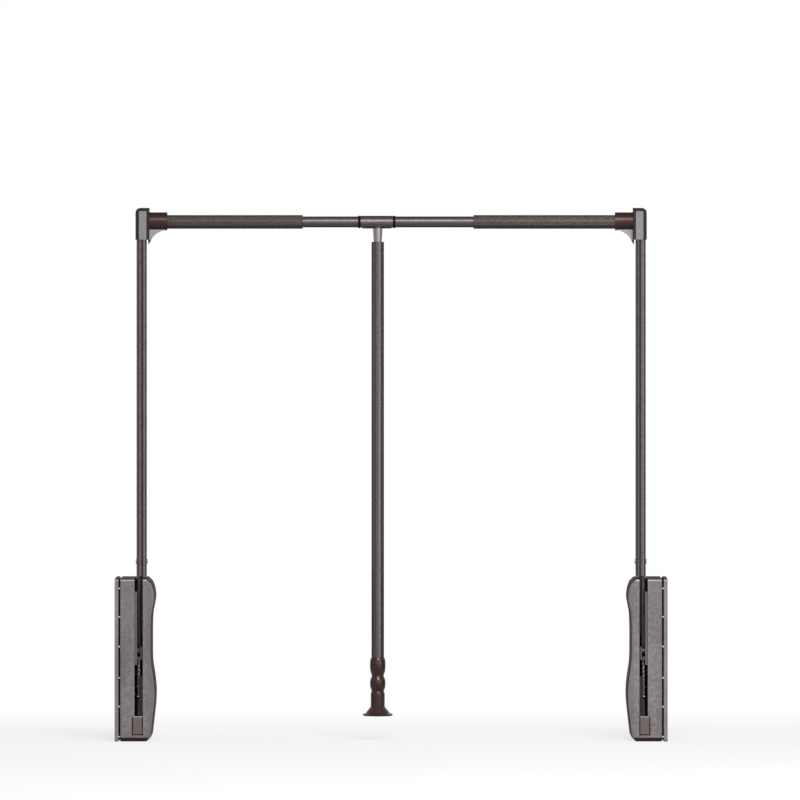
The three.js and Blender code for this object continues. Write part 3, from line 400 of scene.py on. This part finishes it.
# %% Group: worn edges
wear_group, given, out = new_group(
    "worn_edges",
    [("Colour", COLOUR, MID_GREY), ("Worn Colour", COLOUR, PALE_GREY), ("Amount", NUMBER, 0.5)],
    [("Colour", COLOUR)],
)
sharpness = wear_group.nodes.new("ShaderNodeNewGeometry").outputs["Pointiness"]
rim = spread(wear_group, sharpness, 0.515, 0.6)
broken = spread(wear_group, noise_node(wear_group, scale=220, detail=4), 0.35, 0.65)
worn_share = product(wear_group, product(wear_group, rim, broken), given.outputs["Amount"])
worn_over = colour_mix(wear_group, worn_share, given.outputs["Colour"], given.outputs["Worn Colour"])
wear_group.links.new(worn_over, out.inputs["Colour"])

# %% [markdown]
# ## Finishes
# A finish is a material with one grain or streak group, the worn edges, and a bump. Colours are written as
# they are read from a picture, from 0 to 255, and turned into the linear numbers that the shader wants. The
# edge colour is what a metal mirrors where it is seen nearly edge on. The lift's metals turn dark and
# reddish there, although white stands all round them.

# %% Material helper
PLAIN_EDGE, DARK_EDGE = (1, 1, 1, 1), (0.16, 0.07, 0.05, 1)
COAT_ROUGHNESS, BUMP_DISTANCE = 0.12, 0.0002
finishes = {}


def linear(colour):
    return tuple(((c / 255 + 0.055) / 1.055) ** 2.4 if c > 10 else c / 255 / 12.92 for c in colour) + (1.0,)


def finish(name, group, colour, deep, values, bump, metallic=0.0, worn=None, amount=0.0,
           coat=0.0, shine=0.5, edge=PLAIN_EDGE):
    material = bpy.data.materials.new(name)
    material.use_nodes = True
    tree = material.node_tree
    shader = tree.nodes["Principled BSDF"]
    shader.inputs["Metallic"].default_value = metallic
    shader.inputs["Specular IOR Level"].default_value = shine
    shader.inputs["Specular Tint"].default_value = edge
    shader.inputs["Coat Weight"].default_value = coat
    shader.inputs["Coat Roughness"].default_value = COAT_ROUGHNESS
    surface = tree.nodes.new("ShaderNodeGroup")
    surface.node_tree = group
    surface.inputs["Colour"].default_value = linear(colour)
    surface.inputs["Deep Colour"].default_value = linear(deep)
    for label, value in values.items():
        surface.inputs[label].default_value = value
    edges = tree.nodes.new("ShaderNodeGroup")
    edges.node_tree = wear_group
    edges.inputs["Worn Colour"].default_value = linear(worn or colour)
    edges.inputs["Amount"].default_value = amount
    tree.links.new(surface.outputs["Colour"], edges.inputs["Colour"])
    tree.links.new(edges.outputs["Colour"], shader.inputs["Base Color"])
    tree.links.new(surface.outputs["Roughness"], shader.inputs["Roughness"])
    relief = tree.nodes.new("ShaderNodeBump")
    relief.inputs["Strength"].default_value = bump
    relief.inputs["Distance"].default_value = BUMP_DISTANCE
    tree.links.new(surface.outputs["Height"], relief.inputs["Height"])
    tree.links.new(relief.outputs["Normal"], shader.inputs["Normal"])
    finishes[name] = material
    print("finish", name)


# %% [markdown]
# ## Plastics and rubber
# The housings are moulded in a warm grey plastic with a slight metal sheen. Their sides, top and foot get
# a darker brown, which is painted shade. The grip is dark brown and glossy. The buffers are black rubber,
# which is rough and takes hardly any highlight.


# %% Moulded plastics and rubber
def grain(scale, low, high):
    return {"Grain Scale": scale, "Roughness Low": low, "Roughness High": high}


finish("warm_grey_plastic", grain_group, (98, 92, 93), (77, 72, 72), grain(1400, 0.34, 0.44),
       bump=0.08, metallic=0.35, worn=(150, 146, 148), amount=0.3)
# painted shade: a darker brown for the housings' faces that turn away from the front
finish("warm_brown_plastic", grain_group, (50, 38, 36), (40, 29, 27), grain(1400, 0.6, 0.7),
       bump=0.1, shine=0.05)
# painted highlight: a lighter grey for the housings' top bevels
finish("bright_bevel", grain_group, (134, 130, 134), (120, 116, 120), grain(1400, 0.36, 0.44),
       bump=0.05, metallic=0.3)
finish("plate_plastic", grain_group, (112, 105, 107), (97, 90, 91), grain(1400, 0.34, 0.46),
       bump=0.08, metallic=0.35, worn=(165, 160, 162), amount=0.3)
# near-black for the rod's collars; also painted shade in the wall plate's groove and round the foot block's
# face
finish("groove_black", grain_group, (24, 14, 14), (18, 10, 10), grain(1200, 0.6, 0.8),
       bump=0.1, shine=0.05)
# pale for the knobs in the wall plate's groove; also a painted highlight on the foot block's upper frame face
finish("knob_plastic", grain_group, (186, 182, 184), (170, 166, 168), grain(1400, 0.3, 0.4),
       bump=0.05)
finish("block_plastic", grain_group, (84, 72, 69), (74, 62, 58), grain(1100, 0.4, 0.5),
       bump=0.12, worn=(150, 130, 124), amount=0.3)
finish("black_plastic", grain_group, (30, 27, 27), (23, 21, 21), grain(1200, 0.4, 0.55),
       bump=0.12, worn=(60, 56, 56), amount=0.3)
# near-black for the arm inserts; also painted shade on the slot's sunk sill
finish("bar_plastic", grain_group, (20, 18, 19), (15, 13, 14), grain(1400, 0.4, 0.5),
       bump=0.06, shine=0.2)
finish("black_rubber", grain_group, (26, 25, 25), (20, 19, 19), grain(800, 0.65, 0.85),
       bump=0.25, shine=0.3)
finish("grip_plastic", grain_group, (50, 30, 24), (42, 24, 19), grain(500, 0.3, 0.36),
       bump=0.01, metallic=0.6, coat=0.45, shine=0.3, edge=DARK_EDGE)

# %% [markdown]
# ## Metals
# The arms and tubes have a dark mocha coat over drawn metal. They keep a high Metallic and a low roughness,
# so that each tube shows a narrow line of light with darker bands beside it. The corner brackets are cast:
# no streaks, only a fine grain. Steel inside the slot is dark or brown, and screws and pins are bright.


# %% Metals
def streaks(stretch, low, high):
    return {"Stretch": stretch, "Roughness Low": low, "Roughness High": high}


ALONG_X, ALONG_Z, NO_WAY = (5.0, 500.0, 500.0), (500.0, 500.0, 5.0), (300.0, 300.0, 300.0)
finish("mocha_arm", streak_group, (76, 71, 71), (69, 64, 64), streaks(ALONG_Z, 0.16, 0.22),
       bump=0.01, metallic=0.9, worn=(140, 134, 132), amount=0.25, edge=DARK_EDGE)
finish("mocha_rod", streak_group, (76, 72, 72), (70, 66, 66), streaks(ALONG_X, 0.33, 0.39),
       bump=0.01, metallic=1.0, worn=(130, 126, 124), amount=0.2, edge=DARK_EDGE)
finish("mocha_ribs", streak_group, (60, 56, 54), (55, 51, 49), streaks(ALONG_X, 0.32, 0.42),
       bump=0.01, metallic=0.95, worn=(110, 106, 103), amount=0.15, edge=DARK_EDGE)
finish("mocha_cast", grain_group, (58, 46, 43), (50, 39, 36), grain(1500, 0.28, 0.34),
       bump=0.04, metallic=0.7, worn=(120, 110, 106), amount=0.2, shine=0.1, edge=DARK_EDGE)
finish("dark_cast", grain_group, (34, 25, 25), (27, 19, 19), grain(1500, 0.4, 0.5),
       bump=0.04, shine=0.15)
finish("grey_strip", grain_group, (106, 104, 107), (97, 95, 98), grain(1500, 0.34, 0.44),
       bump=0.04, metallic=0.3, worn=(160, 156, 156), amount=0.25)
finish("pale_web", grain_group, (132, 128, 130), (120, 116, 118), grain(1500, 0.34, 0.44),
       bump=0.04, metallic=0.3)
finish("dark_steel", streak_group, (50, 47, 49), (40, 37, 38), streaks(ALONG_Z, 0.35, 0.5),
       bump=0.06, metallic=0.8, worn=(110, 106, 104), amount=0.3)
finish("brown_steel", streak_group, (92, 78, 79), (80, 66, 67), streaks(ALONG_Z, 0.35, 0.5),
       bump=0.06, metallic=0.5)
# painted shade: a darker colour down the arms' grooves
finish("deep_groove", streak_group, (40, 33, 34), (32, 26, 27), streaks(ALONG_Z, 0.5, 0.6),
       bump=0.02, shine=0.1)
# painted highlight: a brighter steel colour for the connector's neck
finish("bright_neck", streak_group, (132, 122, 125), (122, 112, 114), streaks(ALONG_Z, 0.3, 0.38),
       bump=0.01, metallic=1.0)
finish("bright_steel", streak_group, (170, 168, 166), (152, 150, 148), streaks(ALONG_X, 0.2, 0.32),
       bump=0.03, metallic=1.0)
finish("spring_wire", streak_group, (70, 66, 65), (56, 52, 51), streaks(NO_WAY, 0.24, 0.36),
       bump=0.03, metallic=1.0)

# %% [markdown]
# ## Soft edges
# Moulded and machined pieces have no knife edges: a hair of rounding catches the light. Each could be
# modelled anew with its rounding, but the measured piece already has the right shape. So a copy of it is
# cleaned of the lines that its flat faces don't need, and gets a bevel of a few tenths of a millimetre.
# Weighted normals keep the flat faces flat beside the bevel. The copy stands in for the measured piece,
# which stays for collisions.

# %% Helpers for the pieces
SAME_POINT = 1e-6  # metres
FLAT_ANGLE, EDGE_ANGLE, SMOOTH_ANGLE = 0.8, 38, 32  # degrees
node_body = {name: node["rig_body"] for name, node in frame["nodes"].items()}


def new_piece(name, mesh, material, body, *nodes):
    obj = bpy.data.objects.new(name, mesh)
    bpy.context.scene.collection.objects.link(obj)
    obj.data.materials.clear()
    obj.data.materials.append(finishes[material])
    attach(obj, body)
    if nodes:
        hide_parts(*nodes)
    return obj


def smooth(obj, degrees=SMOOTH_ANGLE):
    obj.data.polygons.foreach_set("use_smooth", [True] * len(obj.data.polygons))
    obj.data.set_sharp_from_angle(angle=math.radians(degrees))
    even = obj.modifiers.new("even_normals", "WEIGHTED_NORMAL")
    even.keep_sharp = True
    print(obj.name, len(obj.data.polygons), "faces")


def reshape(mesh, change):
    work = bmesh.new()
    work.from_mesh(mesh)
    change(work)
    work.to_mesh(mesh)
    work.free()


def drop_spare_lines(work):
    bmesh.ops.remove_doubles(work, verts=work.verts, dist=SAME_POINT)
    bmesh.ops.dissolve_limit(work, angle_limit=math.radians(FLAT_ANGLE), verts=work.verts, edges=work.edges)


# %% Soft copy of a measured piece
def soft_copy(node, material, width):
    mesh = frame["nodes"][node].data.copy()
    reshape(mesh, drop_spare_lines)
    obj = new_piece("dressed_" + node, mesh, material, node_body[node], node)
    bevel = obj.modifiers.new("soft_edges", "BEVEL")
    bevel.width = width * MM
    bevel.segments = 2
    bevel.limit_method = "ANGLE"
    bevel.angle_limit = math.radians(EDGE_ANGLE)
    bevel.use_clamp_overlap = True
    bevel.harden_normals = False
    smooth(obj)
    return obj


# %% Soft copies of both sides' pieces
side_finishes = {  # the finish, and the width of the soft edge in millimetres
    "housing_cover": ("warm_grey_plastic", 0.5),
    "wall_plate": ("plate_plastic", 0.4),
    "foot_block": ("block_plastic", 0.4),
    "arm_tube": ("mocha_arm", 0.2),
    "corner_bracket": ("mocha_cast", 0.5),
    "bracket_cover": ("grey_strip", 0.25),
    "upper_buffer": ("black_rubber", 0.3),
    "lower_buffer": ("black_rubber", 0.5),
    "carriage": ("black_plastic", 0.3),
    "lever": ("dark_steel", 0.25),
    "chassis": ("brown_steel", 0.2),
    "arm_insert": ("bar_plastic", 0.3),
}
dressed = {}
for side in ("left", "right"):
    for part, (material, width) in side_finishes.items():
        dressed[side, part] = soft_copy(f"{side}_{part}", material, width)
connector = soft_copy("handle_connector", "mocha_rod", 0.3)

# %% [markdown]
# ## Two tones on one piece
# Seen from the front, several pieces show more than one tone. Much of it is painted light: a housing's sides
# get a darker brown as painted shade, and its top bevel a lighter grey as a painted highlight. A mesh can
# hold several materials, and each of its faces points at one of them. So the faces are sorted by which way
# they look and where they are, and the chosen ones get a second material.

# %% Helpers for the tones
FULLY, MOSTLY, PARTLY, HALF, SLIGHTLY = 0.95, 0.9, 0.6, 0.5, 0.3  # how much of a face's normal points one way


def from_wall(side, x):
    return x if side == "left" else WALL_TO_WALL - x


def second_material(obj, material, belongs):
    obj.data.materials.append(finishes[material])
    slot = len(obj.data.materials) - 1
    count = 0
    for face in obj.data.polygons:
        if belongs(face.normal, face.center / MM):
            face.material_index = slot
            count += 1
    print(obj.name, material, count, "faces")


def cut_level(work, height):
    bmesh.ops.bisect_plane(work, geom=work.verts[:] + work.edges[:] + work.faces[:],
                           plane_co=(0, 0, height), plane_no=(0, 0, 1))


# %% [markdown]
# ## Sloping foot
# The lower end of each cover slopes back towards its foot, so its front edge shows as a dark wedge; its
# sloping faces also get a darker brown, which is painted shade. The mesh is cut level a little above its
# bottom, and the points of the front's outer skin below that cut move back, the lower the more. The inside
# of the front wall stays where it is.

# %% Sloping foot of the covers
FOOT_RISE, FOOT_SLOPE = 6.5, 0.42
SKIN_DEPTH, FRONT_WALL, SAME_PLACE = 3.1, 2.5, 0.01


def slope_foot(work):
    cut_z = min(vert.co.z for vert in work.verts) + FOOT_RISE * MM
    front = min(vert.co.y for vert in work.verts)
    cut_level(work, cut_z)
    inside = front + FRONT_WALL * MM
    moved = [vert for vert in work.verts
             if vert.co.z < cut_z and vert.co.y < front + SKIN_DEPTH * MM
             and abs(vert.co.y - inside) > SAME_PLACE * MM]
    for vert in moved:
        vert.co.y += (cut_z - vert.co.z) * FOOT_SLOPE
    print("points moved back", len(moved))


for side in ("left", "right"):
    reshape(dressed[side, "housing_cover"].data, slope_foot)

# %% [markdown]
# ## Foot block
# The small block at the slot's lower end has a sunk face in a thin frame. A picture of a frame would stay
# flat from the side, so its front face is inset and pushed back, which leaves four sloping faces round
# it. The upper one is made pale, which is a painted highlight, and the others black, which is painted shade.

# %% Frame of the foot blocks
FRAME_WIDTH, FRAME_DEPTH = 1.3, 1.0


def sink_front(work):
    face = max((f for f in work.faces if f.normal.y < -MOSTLY), key=lambda f: f.calc_area())
    bmesh.ops.inset_individual(work, faces=[face], thickness=FRAME_WIDTH * MM, depth=-FRAME_DEPTH * MM,
                               use_even_offset=True)


for side in ("left", "right"):
    block = dressed[side, "foot_block"]
    reshape(block.data, sink_front)
    # painted shade: the frame's sides and lower face are made black
    second_material(block, "groove_black", lambda n, c: -FULLY < n.y < -SLIGHTLY and n.z > -SLIGHTLY)
    # painted highlight: the frame's upper face is made pale
    second_material(block, "knob_plastic", lambda n, c: -FULLY < n.y < -SLIGHTLY and n.z < -SLIGHTLY)

# %% [markdown]
# ## Housings
# The sides, top and sloping foot of a cover get a darker brown, which is painted shade, its top bevel a
# lighter grey, which is a painted highlight, and the sunk sill in its slot a near-black, which is painted
# shade. The wall plate's sides and bevel are painted the same way. It carries the groove between the two,
# whose floor is painted black as shade, with a few pale knobs in it. A knob is told from the groove's floor
# by how far forward it stands.

# %% Tones of the housings
GROOVE_START, GROOVE_END = 6.05, 9.05  # from the wall
KNOB_FRONT, SILL_FRONT, SAME_LEVEL = -32.6, FRONT_Y + 1.0, 0.1
for side in ("left", "right"):
    cover, plate = dressed[side, "housing_cover"], dressed[side, "wall_plate"]
    # painted shade: the cover's sides, top and bottom get the darker brown
    second_material(cover, "warm_brown_plastic", lambda n, c: abs(n.y) < HALF)
    # painted highlight: faces sloping up and forward get the lighter grey
    second_material(cover, "bright_bevel", lambda n, c: n.z > SLIGHTLY and -FULLY < n.y < -HALF)
    # painted shade: the faces of the sloping foot get the darker brown too
    second_material(cover, "warm_brown_plastic", lambda n, c: n.z < -SLIGHTLY and n.y < -SLIGHTLY)
    # painted shade: the slot's sunk sill is made near-black
    second_material(cover, "bar_plastic", lambda n, c: abs(c.y - SILL_FRONT) < SAME_LEVEL)
    # painted shade: the wall plate's outer strip gets the darker brown on its sides
    second_material(plate, "warm_brown_plastic",
                    lambda n, c: from_wall(side, c.x) < GROOVE_START and abs(n.y) < HALF)
    # painted highlight: the plate's top bevel gets the lighter grey
    second_material(plate, "bright_bevel",
                    lambda n, c: (from_wall(side, c.x) < GROOVE_START
                                  and n.z > SLIGHTLY and -FULLY < n.y < -HALF))
    # painted shade: the groove's floor behind the knobs is made black
    second_material(plate, "groove_black",
                    lambda n, c: GROOVE_START < from_wall(side, c.x) and c.y > KNOB_FRONT)
    second_material(plate, "knob_plastic",
                    lambda n, c: GROOVE_START < from_wall(side, c.x) < GROOVE_END and c.y < KNOB_FRONT)

# %% [markdown]
# ## Arms, brackets and connector
# Each arm has a shallow groove down its front and back, coloured darker than the faces beside it as painted
# shade. The bracket's block is dark, its socket has the cast finish, and the curved web under the socket is
# pale down to the end of the front strip. A face can have only one material, so the web is cut level there
# first. The connector's neck gets a brighter steel colour, which is a painted highlight.

# %% Tones of the arms, brackets and connector
ARM_GROOVE_DEPTH, GROOVE_MARGIN = 0.9, 0.2
ARM_GROOVE_Y = span("left_arm_tube", "Y")[1] - ARM_GROOVE_DEPTH
BRACKET_HALF, BRACKET_FRONT, WEB_FRONT, NECK_BELOW_ROD = 12.3, -10, -6.5, 10.4
BLOCK_END = middle("left_arm_tube", "X") + BRACKET_HALF  # from the wall, where the socket leaves the block
WEB_BOTTOM = span("left_bracket_cover", "Z")[0]
for side in ("left", "right"):
    # painted shade: the groove's faces get the darker colour
    second_material(dressed[side, "arm_tube"], "deep_groove",
                    lambda n, c: abs(n.y) > MOSTLY and abs(abs(c.y) - ARM_GROOVE_Y) < GROOVE_MARGIN)
    bracket = dressed[side, "corner_bracket"]
    reshape(bracket.data, lambda work: cut_level(work, WEB_BOTTOM * MM))
    second_material(bracket, "dark_cast",
                    lambda n, c: n.y < -PARTLY and c.y < BRACKET_FRONT and from_wall(side, c.x) < BLOCK_END)
    second_material(bracket, "pale_web",
                    lambda n, c: n.y < -MOSTLY and c.y > WEB_FRONT and WEB_BOTTOM < c.z < ROD_Z)
# painted highlight: the connector's neck gets the brighter colour
second_material(connector, "bright_neck", lambda n, c: c.z < ROD_Z - NECK_BELOW_ROD)

# %% [markdown]
# ## Springs
# The balance spring is wound wire. A Screw modifier or a bevelled curve would draw one, but a ring of
# points carried along a helix gives the mesh at once, closed at both ends. It stands between its seat and
# the carriage, at one length, and rides with the housing. When the carriage comes down the real spring is
# pressed together.

# %% Springs
WIRE_RADIUS, COIL_RADIUS, COIL_TURNS = 0.9 * MM, 5.1 * MM, 8.5
STEPS_PER_TURN, WIRE_SIDES = 32, 14
CLEARANCE = 0.3
SPRING_Y = middle("left_guide_rod", "Y") * MM
SPRING_BOTTOM = (span("left_spring_seat", "Z")[1] + CLEARANCE) * MM
SPRING_TOP = (span("left_carriage", "Z")[0] - CLEARANCE) * MM
MECHANISM_X = middle("left_guide_rod", "X")


def finished_mesh(name, work):
    bmesh.ops.recalc_face_normals(work, faces=work.faces)
    mesh = bpy.data.meshes.new(name)
    work.to_mesh(mesh)
    work.free()
    return mesh


def coil_path(x, phase):
    steps = int(COIL_TURNS * STEPS_PER_TURN)
    rise = (SPRING_TOP - SPRING_BOTTOM - 2 * WIRE_RADIUS) / steps
    path = []
    for step in range(steps + 1):
        angle = phase + step * math.tau / STEPS_PER_TURN
        path.append(Vector((x + math.cos(angle) * COIL_RADIUS, SPRING_Y + math.sin(angle) * COIL_RADIUS,
                            SPRING_BOTTOM + WIRE_RADIUS + step * rise)))
    return path


def coil(name, x, phase):
    path = coil_path(x, phase)
    turns = [side * math.tau / WIRE_SIDES for side in range(WIRE_SIDES)]
    work = bmesh.new()
    rings = []
    for index, centre in enumerate(path):
        along = (path[min(index + 1, len(path) - 1)] - path[max(index - 1, 0)]).normalized()
        sideways = along.cross(Vector((0, 0, 1))).normalized()
        lift = sideways.cross(along)
        ring = [centre + WIRE_RADIUS * (math.cos(turn) * sideways + math.sin(turn) * lift) for turn in turns]
        rings.append([work.verts.new(spot) for spot in ring])
    for ring, after in zip(rings, rings[1:]):
        for k in range(WIRE_SIDES):
            work.faces.new((ring[k], ring[k - 1], after[k - 1], after[k]))
    work.faces.new(rings[0])
    work.faces.new(reversed(rings[-1]))
    return finished_mesh(name, work)


for side, phase in (("left", 0.0), ("right", math.pi)):
    x = from_wall(side, MECHANISM_X) * MM
    spring = new_piece(f"{side}_wound_spring", coil(f"{side}_coil", x, phase), "spring_wire",
                       f"{side}_housing", f"{side}_balance_spring")
    smooth(spring, degrees=60)
    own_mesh(spring)

# %% [markdown]
# ## Turned and drawn pieces
# Tubes, rods, collars, the grip and its flange are round. A lathe makes such a piece from its outline, and
# so does this helper: it turns a closed line of radius and height about an axis, with many more steps than
# the measured model has. A tube's outline has both rims rounded by two short slopes.


# %% Turning helpers
SAME_TURNED_POINT = 1e-7  # metres


def turned(name, outline, origin, axis, steps=72):
    work = bmesh.new()
    columns = []
    for step in range(steps):
        angle = step * math.tau / steps
        across, up = math.cos(angle), math.sin(angle)
        column = []
        for out_by, height in outline:
            if axis == "X":
                spot = (origin[0] + height, origin[1] + out_by * across, origin[2] + out_by * up)
            else:
                spot = (origin[0] + out_by * across, origin[1] + out_by * up, origin[2] + height)
            column.append(work.verts.new([value * MM for value in spot]))
        columns.append(column)
    count = len(outline)
    for here, after in zip(columns, columns[1:] + columns[:1]):
        for k in range(count):
            work.faces.new((here[k], here[(k + 1) % count], after[(k + 1) % count], after[k]))
    bmesh.ops.remove_doubles(work, verts=work.verts, dist=SAME_TURNED_POINT)
    return finished_mesh(name, work)


def tube_outline(outer, inner, start, end, soft=0.25):
    near = soft * 0.3  # how far the rounding's middle stays from the corner
    return [(inner, start), (outer - soft, start), (outer - near, start + near), (outer, start + soft),
            (outer, end - soft), (outer - near, end - near), (outer - soft, end), (inner, end)]


# %% [markdown]
# ## Hanging rod
# The inner tube is plain and slides in the two outer tubes. A dark collar on each side of the handle's
# connector keeps it in its place along the tube. Both are plain turned shapes along X, as long as the
# measured ones.

# %% Inner tube and collars
TUBE_WALL, COLLAR_BORE, COLLAR_SOFT = 1.2, 9.1, 0.5
ROD_ORIGIN = (0, 0, ROD_Z)
inner_radius = radius("inner_tube")
inner_outline = tube_outline(inner_radius, inner_radius - TUBE_WALL, *span("inner_tube", "X"))
rod = new_piece("drawn_inner_tube", turned("inner_tube", inner_outline, ROD_ORIGIN, "X"), "mocha_rod",
                node_body["inner_tube"], "inner_tube")
smooth(rod)
for side in ("left", "right"):
    node = f"{side}_collar"
    collar_outline = tube_outline(radius(node), COLLAR_BORE, *span(node, "X"), COLLAR_SOFT)
    collar = new_piece(f"{side}_dark_collar", turned("collar", collar_outline, ROD_ORIGIN, "X"),
                       "groove_black", node_body[node], node)
    smooth(collar)

# %% [markdown]
# ## Flutes
# Shallow flutes along the outer tubes keep the hangers from slipping. The tube's outline across is a wave
# of 26 of them: the square root of a cosine gives round crests with a sharp line between them. It is
# carried along the tube through six rings, with a short slope at each end and a plain bore inside.

# %% Outer tubes
OUTER_RADIUS, OUTER_BORE = radius("left_outer_tube"), 9.3
FLUTES, POINTS_PER_FLUTE, FLUTE_DEPTH, END_SLOPE, FAR_SLOPE = 26, 8, 0.4, 0.3, 0.4


def ring_of_points(work, x, shrink, fluted):
    ring = []
    for k in range(FLUTES * POINTS_PER_FLUTE):
        angle = k * math.tau / (FLUTES * POINTS_PER_FLUTE)
        crest = abs(math.cos(FLUTES / 2 * angle)) ** 0.5
        out_by = OUTER_RADIUS - FLUTE_DEPTH * (1 - crest) - shrink if fluted else OUTER_BORE
        spot = (x * MM, math.cos(angle) * out_by * MM, (ROD_Z + math.sin(angle) * out_by) * MM)
        ring.append(work.verts.new(spot))
    return ring


def fluted_tube(name, start, end):
    work = bmesh.new()
    rings = [
        ring_of_points(work, start, END_SLOPE, True), ring_of_points(work, start + END_SLOPE, 0, True),
        ring_of_points(work, end - FAR_SLOPE, 0, True), ring_of_points(work, end, FAR_SLOPE, True),
        ring_of_points(work, end, 0, False), ring_of_points(work, start, 0, False),
    ]
    for ring, after in zip(rings, rings[1:] + rings[:1]):
        for k in range(len(ring)):
            work.faces.new((ring[k - 1], ring[k], after[k], after[k - 1]))
    return finished_mesh(name, work)


for side in ("left", "right"):
    node = f"{side}_outer_tube"
    tube = new_piece(f"{side}_fluted_tube", fluted_tube(f"{side}_flutes", *span(node, "X")), "mocha_ribs",
                     node_body[node], node)
    smooth(tube, degrees=40)

# %% [markdown]
# ## Pull rod
# The pull rod is a plain drawn tube that hangs from the connector. It is turned like the inner tube, but
# upright, about the handle's own axis.

# %% Pull rod
HANDLE_ORIGIN = (HANDLE_X, 0, 0)
pull_radius = radius("pull_rod")
pull_outline = tube_outline(pull_radius, pull_radius - TUBE_WALL, *span("pull_rod", "Z"))
pull = new_piece("drawn_pull_rod", turned("pull_rod", pull_outline, HANDLE_ORIGIN, "Z"), "mocha_arm",
                 node_body["pull_rod"], "pull_rod")
smooth(pull)

# %% [markdown]
# ## Grip
# The grip is turned: two bulges and a straight tail, with a plug above that sits in the pull rod and a hole
# below for the flange's screw. The bulges are drawn by a few points, as shares of the swell and of the
# grip's height, and a Catmull-Rom curve runs through them, which passes every point without a corner. That
# needs far fewer numbers than an outline typed in full.

# %% Grip
TURNING_STEPS = 96
GRIP_TOP, GRIP_BOTTOM = span("pull_rod", "Z")[0] - CLEARANCE, span("grip", "Z")[0]
GRIP_HEIGHT, GRIP_NECK, GRIP_SWELL, GRIP_TAIL = GRIP_TOP - GRIP_BOTTOM, 9.7, 2.8, 11.3
PLUG_RADIUS, PLUG_LENGTH, PLUG_SOFT, SCREW_BORE, SCREW_DEPTH = 8.5, 25, 0.3, 2.3, 12.5
ON_AXIS = 0.01
grip_shares = [(0.3, 0.0), (0.8, 0.045), (1, 0.11), (1, 0.2), (0.75, 0.28), (0.2, 0.34), (0, 0.378),
               (0.3, 0.41), (0.85, 0.46), (1, 0.52), (0.85, 0.6), (0.3, 0.66), (0.05, 0.69)]
tail_points = [(0.9, 0.702), (0.25, 0.727), (0, 0.765), (0, 1)]  # inward, and the share of the height


def flowing(points, steps=6):
    line = [points[0], *points, points[-1]]
    result = []
    for p0, p1, p2, p3 in zip(line, line[1:], line[2:], line[3:]):
        for step in range(steps):
            t = step / steps
            result.append(tuple(
                0.5 * (2 * b + (c - a) * t
                       + (2 * a - 5 * b + 4 * c - d) * t * t + (3 * b - a - 3 * c + d) * t ** 3)
                for a, b, c, d in zip(p0, p1, p2, p3)))
    return result + [points[-1]]


plug_top, screw_top = GRIP_TOP + PLUG_LENGTH, GRIP_BOTTOM + SCREW_DEPTH
plug = [(ON_AXIS, plug_top), (PLUG_RADIUS - PLUG_SOFT, plug_top), (PLUG_RADIUS, plug_top - PLUG_SOFT),
        (PLUG_RADIUS, GRIP_TOP)]
swells = flowing([(GRIP_NECK + GRIP_SWELL * out_by, GRIP_TOP - GRIP_HEIGHT * down)
                  for out_by, down in grip_shares])
tail = [(GRIP_TAIL - inward, GRIP_TOP - GRIP_HEIGHT * down) for inward, down in tail_points]
screw_hole = [(SCREW_BORE, GRIP_BOTTOM), (SCREW_BORE, screw_top), (ON_AXIS, screw_top)]
grip_mesh = turned("grip", plug + swells + tail + screw_hole, HANDLE_ORIGIN, "Z", TURNING_STEPS)
smooth(new_piece("turned_grip", grip_mesh, "grip_plastic", node_body["grip"], "grip"))

# %% [markdown]
# ## Flange
# The grip ends in a flange that flares out to a thin rim, so that a hand doesn't slip off. Its screw's head
# is sunk from below. The flare runs through four points with the same smooth curve.

# %% Flange
FLANGE_BOTTOM, FLANGE_TOP = span("grip_flange", "Z")
FLANGE_RIM, FLANGE_RADIUS = FLANGE_TOP - 11.5, radius("grip_flange")
RIM_SOFT, FOOT_SOFT, HEAD_BORE, HEAD_DEPTH = 0.6, 1.1, 4.3, 3.6
flare = flowing([(GRIP_TAIL, FLANGE_TOP), (13.4, FLANGE_RIM + 8.6), (16.0, FLANGE_RIM + 5.75),
                 (19.5, FLANGE_RIM + 0.95)], 4)
rim = [(FLANGE_RADIUS - RIM_SOFT, FLANGE_RIM + 0.1), (FLANGE_RADIUS, FLANGE_RIM - 0.5),
       (FLANGE_RADIUS, FLANGE_BOTTOM + FOOT_SOFT), (FLANGE_RADIUS - FOOT_SOFT, FLANGE_BOTTOM)]
head_hole = [(HEAD_BORE, FLANGE_BOTTOM), (HEAD_BORE, FLANGE_BOTTOM + HEAD_DEPTH),
             (SCREW_BORE, FLANGE_BOTTOM + HEAD_DEPTH)]
flange_outline = [(SCREW_BORE, FLANGE_TOP)] + flare + rim + head_hole
flange_mesh = turned("flange", flange_outline, HANDLE_ORIGIN, "Z", TURNING_STEPS)
smooth(new_piece("turned_flange", flange_mesh, "grip_plastic", node_body["grip_flange"], "grip_flange"))

# %% [markdown]
# ## Pieces that stay as measured
# The pieces inside the housings, and the screws and pins, already have the right shape and are hardly seen.
# They keep their measured mesh and only get a finish. The nodes that a dressed piece replaces get one too,
# so that no solid of the model is left without a material.

# %% Finishes on the measured pieces
inside_finishes = {
    "chassis_screw_lower": "bright_steel",
    "chassis_screw_upper": "bright_steel",
    "outer_bush": "black_plastic",
    "inner_bush": "black_plastic",
    "guide_tube": "dark_steel",
    "spring_seat": "bright_steel",
    "damper": "black_plastic",
    "pivot_shaft": "dark_steel",
    "crank_pin": "dark_steel",
    "arm_rivet": "bright_steel",
    "guide_rod": "bright_steel",
    "handle_pin": "bright_steel",
    "grip_screw": "bright_steel",
}
for name, node in frame["nodes"].items():
    plain = name.replace("left_", "").replace("right_", "")
    material = inside_finishes.get(plain)
    if material is None:
        material = side_finishes.get(plain, ("mocha_rod", 0))[0]
    node.data.materials.clear()
    node.data.materials.append(finishes[material])
    print(name, material)
